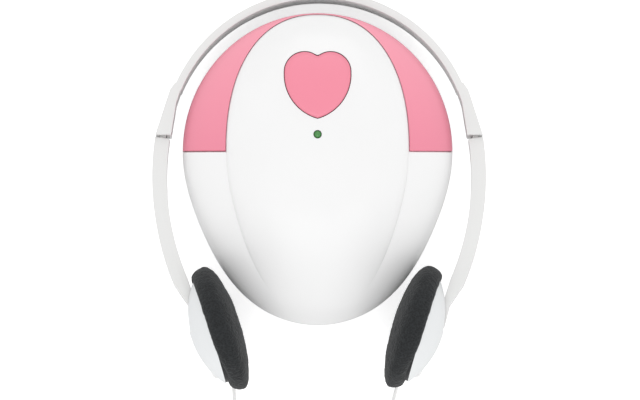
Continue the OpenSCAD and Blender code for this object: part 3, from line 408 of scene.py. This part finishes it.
def circuit_laminate(name):
    """Glass-epoxy board under green lacquer, with its copper tracks showing as paler lines."""
    material, tree, shader, place = surface(name)
    tracks = add(tree, "ShaderNodeTexBrick", {"Scale": 1 / (9 * MM), "Mortar Size": 0.05,
                                              "Color1": srgb("#1C6B41"), "Color2": srgb("#1A643C"),
                                              "Mortar": srgb("#3E8E5C")}, Vector=place)
    tree.links.new(tracks.outputs["Color"], shader.inputs["Base Color"])
    shader.inputs["Roughness"].default_value = 0.35
    return material


# ABS from a polished mould: a clean white with a soft shine
white_abs = moulded_plastic("abs_white_gloss", "#F0F0F0", 0.32, coat=0.12)
# ABS from a spark-eroded mould: a fine matte grain that spreads the light
base_abs = moulded_plastic("abs_white_fine_matte", "#ECECED", 0.48, grain_mm=0.5, grain=0.18)
# Pink ABS from a polished mould, with a painted highlight: paler towards the top of the crescents, where
# light from the north falls on them
pink_abs = moulded_plastic("abs_pink_gloss", "#EA8A9F", 0.34, coat=0.1, painted_highlight_code="#F5A0B1",
                           span=(-6, 50))
# Pink ABS, satin: the button's shine is lower than the collar's
heart_abs = moulded_plastic("abs_pink_satin", "#EF8CA0", 0.38, coat=0.05)
# Polypropylene from a smooth mould: a waxy, slightly warm white
band_pp = moulded_plastic("polypropylene_white", "#E4E4E3", 0.36, grain_mm=0.7, grain=0.1)
# The same plastic in another batch: a touch cooler than the band
cup_pp = moulded_plastic("polypropylene_white_cup", "#E4E6E7", 0.38, grain_mm=0.7, grain=0.1)
# Extruded soft PVC: matte, and the whitest piece of the headset
cord_pvc = moulded_plastic("soft_pvc_white", "#F6F6F5", 0.5, grain_mm=0.4, grain=0.15)
# Moulded soft PVC: matte with a coarser skin than the cords
fitting_pvc = moulded_plastic("moulded_pvc_white", "#ECECEC", 0.5, grain_mm=0.5, grain=0.2)
# Polyester tape: a greyer white with a fine rough skin
tape = moulded_plastic("polyester_tape", "#E2E2E4", 0.45, grain_mm=0.3, grain=0.3)
# ABS wheel from a matte mould: greyer than the shells, so that it stands out in its slot
wheel_abs = moulded_plastic("abs_white_wheel", "#DDDEE1", 0.45, grain_mm=0.4, grain=0.2)
# Matte black ABS: soft dark grey where light falls on it
black_abs = moulded_plastic("abs_black_matte", "#232427", 0.5, grain_mm=0.4, grain=0.3)
# Filled resin of chip packages: dull black with fine grit
chip_resin = moulded_plastic("chip_resin_black", "#26282B", 0.6, grain_mm=0.2, grain=0.3)
# Cast resin of the probe's window: pale, even and smooth
window_resin = moulded_plastic("probe_window_resin", "#D9DCDF", 0.3, grain_mm=1.2, grain=0.05)
# Epoxy with a heavy filler: dull grey and mottled
backing_resin = moulded_plastic("filled_epoxy_grey", "#47494D", 0.7, grain_mm=0.4, grain=0.5, mottle=0.2)
# Shrink film round a cell: smooth, blue and shiny
cell_film = moulded_plastic("cell_sleeve_film", "#3A6EA8", 0.3, grain_mm=0.6, grain=0.05)
# Extruded PVC of thin wire: plain red, half matte
wire_pvc = moulded_plastic("wire_jacket_red", "#B5443C", 0.5, grain_mm=0.3, grain=0.2)
# Pressed phenolic: dull blue-grey
pot_resin = moulded_plastic("phenolic_blue_grey", "#35506B", 0.5, grain_mm=0.4, grain=0.3)
# Fired silver film on piezo ceramic: warm, finely speckled
crystal_ceramic = moulded_plastic("silvered_piezo_ceramic", "#C2A268", 0.4, grain_mm=0.2, grain=0.3,
                                  mottle=0.1)
# Aluminium off the lathe: pale, with fine streaks
ring_metal = metal("turned_aluminium", "#C9CCD1", 0.34)
# Zinc-plated steel: mid-grey and fairly bright
steel = metal("zinc_plated_steel", "#B4B7BC", 0.3)
# Nickel plate: bright, with narrow reflections
nickel = metal("nickel_plate", "#CFCFD0", 0.22)
# Pressed steel sheet: darker and duller
driver_metal = metal("pressed_steel_grey", "#7D8187", 0.42)
foam = open_cell_foam("open_cell_foam_charcoal")
lamp = lens_plastic("green_epoxy_lens", "#529650")
laminate = circuit_laminate("glass_epoxy_board")


def finish(obj, material, body=None, stands_for=()):
    obj.data.materials.clear()
    obj.data.materials.append(material)
    if body:
        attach(obj, body)
    if stands_for:
        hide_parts(*stands_for)
    return obj


# ---- The monitor's surface, in mm, as the solids have it ----
WAIST, NOSE, CHIN, HALF = 5.2, 54.5, 68.1, 53.0
T_HALF, T_UP, T_LOW = 35.7, 53.7, 64.2
PART_Z, WING_H, TONGUE_H = 16.0, 15.5, 4.5
FLOOR_Z, DRAW_IN = 3.0, 9.0
COLLAR_T = 1.4


def narrowing(s):
    return 1 - 0.045 * math.sin(math.radians(150 * s)) ** 2


def outline(t, a, up, low, power=2.0):
    c, s = math.cos(math.radians(t)), math.sin(math.radians(t))
    if s < 0:
        return (a * c * narrowing(-s), low * s - WAIST)
    return (a * math.copysign(abs(c) ** (2 / power), c), up * max(s, 0) ** (2 / power) - WAIST)


def reach(x, y, a, up, low, power=2.0):
    dy = y + WAIST
    if dy < 0:
        return math.hypot(x / (a * narrowing(min(1, -dy / low))), dy / low)
    return ((abs(x) / a) ** power + (dy / up) ** power) ** (1 / power)


def body_edge(t, off=0.0):
    return outline(t, HALF - off, NOSE - off, CHIN - off)


def tongue_edge(t, off=0.0):
    return outline(t, T_HALF - off, T_UP - off, T_LOW - off, 2.27)


def wing_z(x, y, off=0.0):
    r = min(1, reach(x, y, HALF - off, NOSE - off, CHIN - off))
    return PART_Z + (WING_H - off) * math.sqrt(1 - r ** 2.4)


def tongue_z(x, y, off=0.0):
    r = min(1, reach(x, y, T_HALF - off, T_UP - off, T_LOW - off, 2.27))
    fade = smooth_step((-(y + WAIST) / T_LOW - 0.25) / 0.65)
    return TONGUE_H * ((1 - fade) * math.sqrt(1 - r ** 4) + fade * (1 - r * r) ** 2)


def skin_z(x, y, off=0.0):
    return wing_z(x, y, off) + tongue_z(x, y, off)


def blend_points(p, q, k):
    return (p[0] * (1 - k) + q[0] * k, p[1] * (1 - k) + q[1] * k)


upper_angles = [0.2] + [a * 1.0 for a in range(1, 180)] + [179.8]
ring_angles = upper_angles + [a + 180 for a in upper_angles]
edge_steps = [math.cos(math.radians(a)) for a in range(0, 90, 2)]
wing_steps = [math.cos(math.radians(a)) for a in np.linspace(0, 90, 26)]


# ---- Upper shell ----
def sunk(t):
    """Depth of the collar's seat below the skin, shallow where the crescent is narrow."""
    return min(COLLAR_T, 0.5 * math.dist(body_edge(t), tongue_edge(t))) if t < 180 else 0.0


def shell_rim(t, low, inset):
    x, y = body_edge(t, sunk(t) + inset)
    return (x, y, low)


def make_upper_shell():
    outer, inner = [], []
    for low, inset in ((0.15, 2.6), (0.15, 0.7), (0.25, 0.35), (0.55, 0.1)):
        outer.append([shell_rim(t, PART_Z + low, inset) for t in ring_angles])
    for k in wing_steps:
        ring = []
        for t in ring_angles:
            x, y = blend_points(tongue_edge(t, -0.1), body_edge(t, sunk(t)), k)
            ring.append((x, y, max(wing_z(x, y, sunk(t)), PART_Z + 0.9)))
        outer.append(ring)
    for k in edge_steps:
        outer.append([(p[0], p[1], skin_z(*p)) for p in
                      (blend_points((0, -WAIST), tongue_edge(t), k) for t in ring_angles)])
    for k in (0.05, 0.35, 0.65, 0.9, 1.0):
        inner.append([(p[0], p[1], skin_z(p[0], p[1], 3.0)) for p in
                      (blend_points((0, -WAIST), tongue_edge(t, 4.5), k) for t in ring_angles)])
    for k in (0.35, 0.7, 0.9):
        inner.append([(p[0], p[1], wing_z(p[0], p[1], 3.2)) for p in
                      (blend_points(tongue_edge(t, 4.5), body_edge(t, sunk(t) + 3.2), k)
                       for t in ring_angles)])
    return stacked_rings("upper_shell", inner + outer, (0, -WAIST, skin_z(0, -WAIST, 3.0)),
                         (0, -WAIST, skin_z(0, -WAIST)))


# ---- Heart: two round lobes and two long round sides ----
HEART_Y, LOBE_R, LOBE_X, SIDE_R = 26.0, 7.9, 5.1, 17.8
HEART_MID = (0.0, 21.0)
HEART_GAP, HEART_FOOT = 0.24, 27.0
CLEFT_BLEND = 0.5                   # softness of the notch between the lobes


def ray_circle(origin, direction, centre, r):
    ox, oy = origin[0] - centre[0], origin[1] - centre[1]
    b = ox * direction[0] + oy * direction[1]
    return -b + math.sqrt(max(0, b * b - (ox * ox + oy * oy - r * r)))


def heart_radius(a, grow):
    d = (math.cos(a), math.sin(a))
    lobes = [ray_circle(HEART_MID, d, (s * LOBE_X, HEART_Y), LOBE_R + grow) for s in (-1, 1)]
    shift = LOBE_R + LOBE_X - SIDE_R
    side = min(ray_circle(HEART_MID, d, (s * shift, HEART_Y - 1), SIDE_R + grow) for s in (-1, 1))
    if d[1] > 0:
        side = min(side, (HEART_Y - HEART_MID[1]) / d[1])
    low, high = sorted(lobes)
    rounded = high + CLEFT_BLEND * math.log(1 + math.exp((low - high) / CLEFT_BLEND))
    return max(side, high if high - low > 3 else rounded - CLEFT_BLEND * 0.1)


def heart_outline(grow, count=220):
    turn = [2 * math.pi * k / count for k in range(count)]
    return [(HEART_MID[0] + r * math.cos(a), HEART_MID[1] + r * math.sin(a))
            for r, a in ((heart_radius(a, grow), a) for a in turn)]


def heart_button():
    rim = heart_outline(0)
    rounding, proud = 1.9, 0.9
    top = []
    for k in (0.06, 0.2, 0.35, 0.5, 0.64, 0.76, 0.85):
        top.append([(x, y, skin_z(x, y) + proud)
                    for x, y in (blend_points(HEART_MID, p, k) for p in rim)])
    for j in range(1, 9):
        a = math.radians(90 * j / 8)
        inward = rounding * (1 - math.sin(a))
        drop = rounding * (1 - math.cos(a)) * 0.85
        ring = []
        for x, y in rim:
            d = math.dist((x, y), HEART_MID)
            k = (d - inward) / d
            px = HEART_MID[0] + (x - HEART_MID[0]) * k
            py = HEART_MID[1] + (y - HEART_MID[1]) * k
            ring.append((px, py, skin_z(px, py) + proud - drop))
        top.append(ring)
    top.append([(x, y, HEART_FOOT) for x, y in rim])
    stem = [[blend_points(HEART_MID, p, k) + (HEART_FOOT,) for p in rim] for k in (0.6, 0.2)]
    centre = skin_z(*HEART_MID) + proud
    cap = stacked_rings("heart_cap", top + stem, HEART_MID + (centre,), HEART_MID + (HEART_FOOT,))
    return smooth(cap, 40)


upper = make_upper_shell()
hole = prism("cutter", heart_outline(HEART_GAP), 20, 50)
lamp_hole = prism("cutter", circle(0, LAMP_Y, 1.65, 48), 20, 50)
cut(upper, [hole, lamp_hole])
smooth(upper, 30)
finish(upper, white_abs, "monitor", ("top_shell",))
heart = heart_button()
finish(heart, heart_abs, "heart_button", ("heart_button",))


# ---- Pink collar: a crescent with softly rounded edges ----
def soft_edge(distance, r):
    return 0 if distance >= r else r - math.sqrt(max(0, r * r - (r - distance) ** 2))


def collar():
    gap, waist_gap = 0.25, 0.3
    angles = [0.0]
    while angles[-1] < 90:
        angles.append(angles[-1] + (0.12 if angles[-1] < 1.3 else 0.5 if angles[-1] < 4 else 1.5))
    angles = angles[:-1] + [90.0]
    angles += [180 - a for a in reversed(angles[:-1])]
    across = [0, 0.004, 0.012, 0.025, 0.045, 0.07, 0.11, 0.17, 0.25, 0.34, 0.44, 0.54, 0.64, 0.73, 0.81,
              0.88, 0.93, 0.965, 0.985, 0.996, 1.0]
    top, low = [], []
    for t in angles:
        inner, outer = tongue_edge(t, -gap), body_edge(t)
        width = math.dist(inner, outer)
        from_waist = waist_gap * max(0, 1 - t / 3, 1 - (180 - t) / 3)
        for k in across:
            x, y = blend_points(inner, outer, k)
            y += from_waist
            z = wing_z(x, y)
            z -= soft_edge(k * width, 0.45) + soft_edge(max(0, y + WAIST - waist_gap), 0.5)
            top.append((x, y, max(z, PART_Z + 0.15)))
            highlight_falloff = max(0.1, sunk(t) - 0.05)
            bx, by = blend_points(inner, body_edge(t, highlight_falloff), k)
            by += from_waist
            low.append((bx, by, max(wing_z(bx, by, highlight_falloff), PART_Z + 0.12)))
    n, m, w = len(angles), len(top), len(across)
    faces = []
    for i in range(n - 1):
        for j in range(w - 1):
            a, b = i * w + j, (i + 1) * w + j
            faces += [(a, b, b + 1, a + 1), (m + a, m + a + 1, m + b + 1, m + b)]
        for a in (i * w, i * w + w - 1):
            faces.append((a, m + a, m + a + w, a + w))
    for a in range(w - 1):
        for base in (0, (n - 1) * w):
            faces.append((base + a, base + a + 1, m + base + a + 1, m + base + a))
    return smooth(outward(piece("collar", top + low, faces)), 40)


finish(collar(), pink_abs, "monitor", ("pink_collar",))


# ---- Lower shell and battery door: one bowl, cut apart ----
def inset(z):
    return DRAW_IN * (1 - (1 - max(0, min(1, (PART_Z - z) / (PART_Z - FLOOR_Z))) ** 2.6) ** (1 / 2.6))


def base_ring(z, off, turn=range(0, 360, 2)):
    return [body_edge(t, off + inset(z)) + (z,) for t in turn]


def flat_ring(off, z):
    return [body_edge(t, off) + (z,) for t in range(0, 360, 2)]


def bowl(wall=2.2):
    highlight_falloff, inner_floor = PART_Z - FLOOR_Z, FLOOR_Z + wall
    heights = [FLOOR_Z + highlight_falloff * (1 - math.sin(math.radians(a))) for a in range(90, -1, -5)]
    rings = [[(x * k, -WAIST + (y + WAIST) * k, FLOOR_Z) for x, y, _ in base_ring(FLOOR_Z, 0)]
             for k in (0.1, 0.5, 0.9, 0.985)]
    rings += [base_ring(z, 0) for z in heights if z < PART_Z - 0.45]
    rings += [base_ring(PART_Z - below, off) for below, off in ((0.3, 0.02), (0.1, 0.2), (0.02, 0.5))]
    rings.append(flat_ring(wall, PART_Z - 0.02))
    inside = [base_ring(max(z, inner_floor), wall) for z in reversed(heights)
              if inner_floor < z < PART_Z - 0.5]
    inside.append(flat_ring(wall + inset(inner_floor), inner_floor))
    inside.append([(x * 0.5, -WAIST + (y + WAIST) * 0.5, z) for x, y, z in inside[-1]])
    return stacked_rings("lower_shell", rings + inside, (0, -WAIST, FLOOR_Z), (0, -WAIST, inner_floor))


SCREWS = [(36, 18), (-36, 18), (32, -40), (-32, -40)]
SCREW_HOLE_R = 2.5
WHEEL_X, WHEEL_R, WHEEL_Z, WHEEL_T = 43.697, 9.0, 6.2, 3.0
WHEEL_ROOM = 0.4
PROBE_HOLE_R = 25.05
DOOR_HOLE = ((-20.3, -90, 0), (20.3, -29, 6.5))
JACK_Y, JACK_Z, JACK_HOLE_R = -65.3, 11, 3.05
lower = bowl()
cut(lower, [prism("cutter", circle(0, 0, PROBE_HOLE_R, 128), 0, 8),
            box_cutter(*DOOR_HOLE),
            box_cutter((WHEEL_X, -WAIST - WHEEL_R, WHEEL_Z - WHEEL_ROOM),
                       (WHEEL_X + 20, -WAIST + WHEEL_R, WHEEL_Z + WHEEL_T + WHEEL_ROOM))]
    + [prism("cutter", circle(x, y, SCREW_HOLE_R, 40), 0, 7) for x, y in SCREWS])
jack_hole = prism("cutter", circle(0, 0, JACK_HOLE_R, 48), 0, 12)
jack_hole.data.transform(Matrix.Translation((0, JACK_Y * MM, JACK_Z * MM))
                         @ Matrix.Rotation(math.radians(90), 4, "X"))
cut(lower, [jack_hole])
smooth(lower, 30)
finish(lower, base_abs, "monitor", ("bottom_shell",))

# The bay round the two cells, and the bosses that take the screws
BAY = ((-23.45, -53.4, 0), (23.45, -30.8, 17.5))
BAY_WALL, BAY_FOOT = 1.2, 3.5
bay = box_cutter((BAY[0][0] - BAY_WALL, BAY[0][1] - BAY_WALL, BAY_FOOT), [c + BAY_WALL for c in BAY[1]])
bay.name = bay.data.name = "battery_bay"
cut(bay, [box_cutter(*BAY), box_cutter(*DOOR_HOLE)])
edge = bay.modifiers.new("edge", "BEVEL")
edge.width, edge.segments, edge.limit_method = 0.25 * MM, 2, "ANGLE"
apply_modifiers(bay)
finish(smooth(bay, 40), base_abs, "monitor")
for i, (x, y) in enumerate(SCREWS):
    boss = prism("screw_boss_%d" % (i + 1), circle(x, y, 3.6, 48), 3.6, 15)
    cut(boss, [prism("cutter", circle(x, y, SCREW_HOLE_R, 40), 0, 7),
               prism("cutter", circle(x, y, 1.3, 24), 0, 20)])
    finish(smooth(boss, 40), base_abs, "monitor")

door = bowl()
door.name = door.data.name = "door_panel"
cut(door, [box_cutter((-20, -90, 0), (20, -29.3, 6.2))], "INTERSECT")
smooth(door, 30)


# ---- What repeats: the door's grip ribs, on Geometry Nodes ----
def repeated(name, copy, count, spacing_mm, start):
    """Copies one small mesh along Y from start, evenly spaced."""
    tree = bpy.data.node_groups.new(name, "GeometryNodeTree")
    tree.interface.new_socket("Geometry", in_out="OUTPUT", socket_type="NodeSocketGeometry")
    tree.interface.new_socket("Count", in_out="INPUT", socket_type="NodeSocketInt")
    tree.interface.new_socket("Spacing", in_out="INPUT", socket_type="NodeSocketFloat")
    inputs = tree.nodes.new("NodeGroupInput")
    source = add(tree, "GeometryNodeObjectInfo", {"Object": copy})
    offset = add(tree, "ShaderNodeCombineXYZ", None, Y=inputs.outputs["Spacing"])
    line = add(tree, "GeometryNodeMeshLine", None, Count=inputs.outputs["Count"],
               Offset=offset.outputs["Vector"])
    copies = add(tree, "GeometryNodeInstanceOnPoints", None, Points=line.outputs["Mesh"],
                 Instance=source.outputs["Geometry"])
    moved = add(tree, "GeometryNodeTransform", {"Translation": [c * MM for c in start]},
                Geometry=copies.outputs["Instances"])
    real = add(tree, "GeometryNodeRealizeInstances", None, Geometry=moved.outputs["Geometry"])
    painted = add(tree, "GeometryNodeSetMaterial", {"Material": base_abs},
                  Geometry=real.outputs["Geometry"])
    out = tree.nodes.new("NodeGroupOutput")
    tree.links.new(painted.outputs["Geometry"], out.inputs["Geometry"])
    carrier = piece(name, [(0, 0, 0)], [])
    modifier = carrier.modifiers.new("repeat", "NODES")
    modifier.node_group = tree
    values = {"Count": count, "Spacing": spacing_mm * MM}
    for socket in tree.interface.items_tree:
        if socket.in_out == "INPUT":
            modifier[socket.identifier] = values[socket.name]
    apply_modifiers(carrier)
    bpy.data.objects.remove(copy)
    return carrier


RIB_COUNT, RIB_STEP = 7, 1.6
rib = prism("rib", [(-8, -0.35), (8, -0.35), (8, 0.35), (-8, 0.35)], 0, 0.45)
ribs = repeated("door_ribs", rib, RIB_COUNT, RIB_STEP, (0, -56, FLOOR_Z - 0.4))
finish(ribs, base_abs, "battery_door")
finish(door, base_abs, "battery_door", ("battery_door",))


# ---- Copies of solids, with rounded edges and smooth round faces ----
def softened(node, name, radius=0.0, flat=1.2, smooth_angle=30, segments=3):
    obj = bpy.data.objects.new(name, nodes[node].data.copy())
    obj.data.name = name
    bpy.context.scene.collection.objects.link(obj)
    bm = bmesh.new()
    bm.from_mesh(obj.data)
    bmesh.ops.remove_doubles(bm, verts=bm.verts, dist=2e-6)
    bmesh.ops.dissolve_limit(bm, angle_limit=math.radians(flat), verts=bm.verts, edges=bm.edges)
    if radius:
        sharp = [e for e in bm.edges
                 if len(e.link_faces) == 2 and e.calc_face_angle(0) > math.radians(38)]
        bmesh.ops.bevel(bm, geom=sharp, offset=radius * MM, offset_type="OFFSET", segments=segments,
                        profile=0.5, affect="EDGES", clamp_overlap=True)
    bm.to_mesh(obj.data)
    bm.free()
    return smooth(obj, smooth_angle)


for node, name, radius, material, slot, body in (
        ("headband", "band", 0.6, band_pp, "white_band", "headset"),
        ("arm_left", "curved_arm_left", 0.7, band_pp, "white_band", "arm_left"),
        ("arm_right", "curved_arm_right", 0.7, band_pp, "white_band", "arm_right"),
        ("cup_left", "cup_shell_left", 0.2, cup_pp, "white_cup", "cup_left"),
        ("cup_right", "cup_shell_right", 0.2, cup_pp, "white_cup", "cup_right"),
        ("boot_left", "cord_boot_left", 0.15, fitting_pvc, "white_cord", "cup_left"),
        ("boot_right", "cord_boot_right", 0.15, fitting_pvc, "white_cord", "cup_right"),
        ("cord_splitter", "y_piece", 0.7, fitting_pvc, "white_fitting", "headset"),
        ("coil_tie", "tie", 0.1, tape, "tape", "headset"),
        ("plug_body", "plug_grip", 0.4, fitting_pvc, "white_fitting", "headset"),
        ("plug_contacts", "plug_pin", 0.0, nickel, "plated_contact", "headset"),
        ("volume_wheel", "thumb_wheel", 0.12, wheel_abs, "white_wheel", "volume_wheel"),
        ("probe_ring", "turned_ring", 0.25, ring_metal, "probe_metal", "monitor"),
        ("probe_window", "window_disc", 0.2, window_resin, "probe_window", "monitor"),
        ("status_light", "lamp_lens", 0.0, lamp, "green_lens", "monitor"),
        ("shell_screws", "case_screws", 0.15, steel, "steel", "monitor")):
    finish(softened(node, name, radius), material, body, (node,))


# ---- Foam pads: cut foam, porous and a little ragged ----
def foam_pad(side):
    name = "foam_pad_" + ("right" if side > 0 else "left")
    pad_r, crown, rim_z, back_z = 25.2, 12.5, 5.0, -0.6
    hollow, hollow_floor, rim_r = 21.6, 5.5, 3.2
    half = [(hollow, hollow_floor), (hollow, 2.4), (hollow, back_z)]
    for a in range(-88, 0, 11):
        c, s = math.cos(math.radians(a)), math.sin(math.radians(a))
        half.append((pad_r - rim_r + rim_r * c, rim_z + (rim_z - back_z) * s))
    for a in (0, 4, 8, 13, 18, 24, 30, 36, 42, 48, 54, 60, 65, 70, 74, 78, 82, 86):
        c, s = math.cos(math.radians(a)), math.sin(math.radians(a))
        half.append((pad_r * c ** 0.9, rim_z + (crown - rim_z) * s))
    count = 120
    rings = [[(r * math.cos(2 * math.pi * k / count), r * math.sin(2 * math.pi * k / count), z)
              for k in range(count)] for r, z in half]
    pad = stacked_rings(name, rings, (0, 0, hollow_floor), (0, 0, crown))
    inward = RIGHT_CUP_IN if side > 0 else 0
    # The lower end is cut slantwise: its back edge rises towards the ear
    for v in pad.data.vertices:
        x, y, z = (c / MM for c in v.co)
        z += 1.9 * smooth_step((-x - 6) / 16) * (1 - smooth_step(z / crown))
        v.co = Vector(cup_place(side, z + inward, -x, y)) * MM
    outward(pad)
    fine = pad.modifiers.new("fine", "SUBSURF")
    fine.levels = fine.render_levels = 2
    fine.subdivision_type = "SIMPLE"
    apply_modifiers(pad)
    count = len(pad.data.vertices)
    places, normals = np.zeros(count * 3), np.zeros(count * 3)
    pad.data.vertices.foreach_get("co", places)
    pad.data.vertex_normals.foreach_get("vector", normals)
    places, normals = places.reshape(-1, 3), normals.reshape(-1, 3)
    # Uneven skiving: fine lumps of about 1 mm over broad ones of 5 mm
    for i, p in enumerate(places / MM):
        p = Vector(p)
        lift = 0.14 * noise.noise(p / 1.3) + 0.25 * noise.noise(p / 5)
        places[i] += normals[i] * (lift - 0.12) * MM
    places[:, 2] = np.maximum(places[:, 2], 0.00005)
    pad.data.vertices.foreach_set("co", places.ravel())
    pad.data.update()
    return smooth(pad, 180)


for side, word in ((-1, "left"), (1, "right")):
    pad = foam_pad(side)
    finish(pad, foam, "cup_" + word, ("foam_" + word,))


# ---- Cords: the lead on the headset's body, the legs on none ----
for side in ("left", "right"):
    top, rest, whole, split = cords[side]
    x, y, z = (c * MM for c in whole[split])
    first = whole[0]
    finish(top, cord_pvc)
    finish(rest, cord_pvc, None, ("leg_" + side,))
    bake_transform(top)
    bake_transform(rest)
finish(lead, cord_pvc, "headset", ("main_lead", "lead_coil", "lead_tail"))


# ---- Solids that stay, with their own finishes ----
for node, material in {
        "switch_plunger": black_abs, "push_switch": black_abs, "light_holder": black_abs,
        "headphone_socket": black_abs, "circuit_board": laminate, "board_parts": chip_resin,
        "battery_upper": cell_film, "battery_lower": cell_film, "battery_contacts": nickel,
        "crystals": crystal_ceramic, "acoustic_backing": backing_resin, "probe_wires": wire_pvc,
        "volume_shaft": steel, "potentiometer": pot_resin, "board_screws": steel,
        "baffle_left": black_abs, "baffle_right": black_abs, "driver_left": driver_metal,
        "driver_right": driver_metal, "pivot_pin_left": steel, "pivot_pin_right": steel}.items():
    for own_slot in nodes[node].material_slots:
        own_slot.material = material


# ---- Floor, light and backdrop ----
floor = piece("floor", [(-4000, -4000, 0), (4000, -4000, 0), (4000, 4000, 0), (-4000, 4000, 0)],
              [(0, 1, 2, 3)])
floor.location.z = -0.0002
paper, tree, shader, place = surface("seamless_paper_white")
shader.inputs["Base Color"].default_value = srgb("#F4F4F4")
shader.inputs["Roughness"].default_value = 0.9
path = tree.nodes.new("ShaderNodeLightPath")
# The paper glows only for the camera, so that it shows white and keeps the object's shadow
lifted = add(tree, "ShaderNodeMath", {"operation": "MULTIPLY", 1: 0.56},
             i0=path.outputs["Is Camera Ray"])
shader.inputs["Emission Color"].default_value = (1, 1, 1, 1)
tree.links.new(lifted.outputs["Value"], shader.inputs["Emission Strength"])
floor.data.materials.append(paper)


def area_light(name, place, target, size, power):
    data = bpy.data.lights.new(name, "AREA")
    data.shape, data.size, data.energy = "SQUARE", size, power
    lamp_object = bpy.data.objects.new(name, data)
    lamp_object.location = place
    lamp_object.rotation_euler = (Vector(target) - Vector(place)).to_track_quat("-Z", "Y").to_euler()
    bpy.context.scene.collection.objects.link(lamp_object)


area_light("north_softbox", (0.1, 0.9, 0.85), (0, -0.02, 0), 0.8, 2.4)
area_light("south_softbox", (0, -0.75, 1.0), (0, -0.02, 0), 1.0, 4.2)
world = bpy.data.worlds.new("studio")
bpy.context.scene.world = world
world.use_nodes = True
tree = world.node_tree
back = tree.nodes["Background"]
path = tree.nodes.new("ShaderNodeLightPath")
seen = add(tree, "ShaderNodeMath", {"operation": "MAXIMUM"}, i0=path.outputs["Is Camera Ray"],
           i1=path.outputs["Is Glossy Ray"])
seen_through = add(tree, "ShaderNodeMath", {"operation": "MAXIMUM"}, i0=seen.outputs["Value"],
                   i1=path.outputs["Is Transmission Ray"])
height = add(tree, "ShaderNodeSeparateXYZ", None,
             Vector=tree.nodes.new("ShaderNodeTexCoord").outputs["Generated"])
# A light tent: brighter at the horizon than overhead, and plain white where it is seen
tent = add(tree, "ShaderNodeMapRange", {"To Min": 1.3, "To Max": 0.57}, Value=height.outputs["Z"])
level = add(tree, "ShaderNodeMix", {3: 1.0}, i0=seen_through.outputs["Value"], i2=tent.outputs["Result"])
back.inputs["Color"].default_value = (1, 1, 1, 1)
tree.links.new(level.outputs[0], back.inputs["Strength"])
bpy.context.scene.view_settings.view_transform = "Standard"
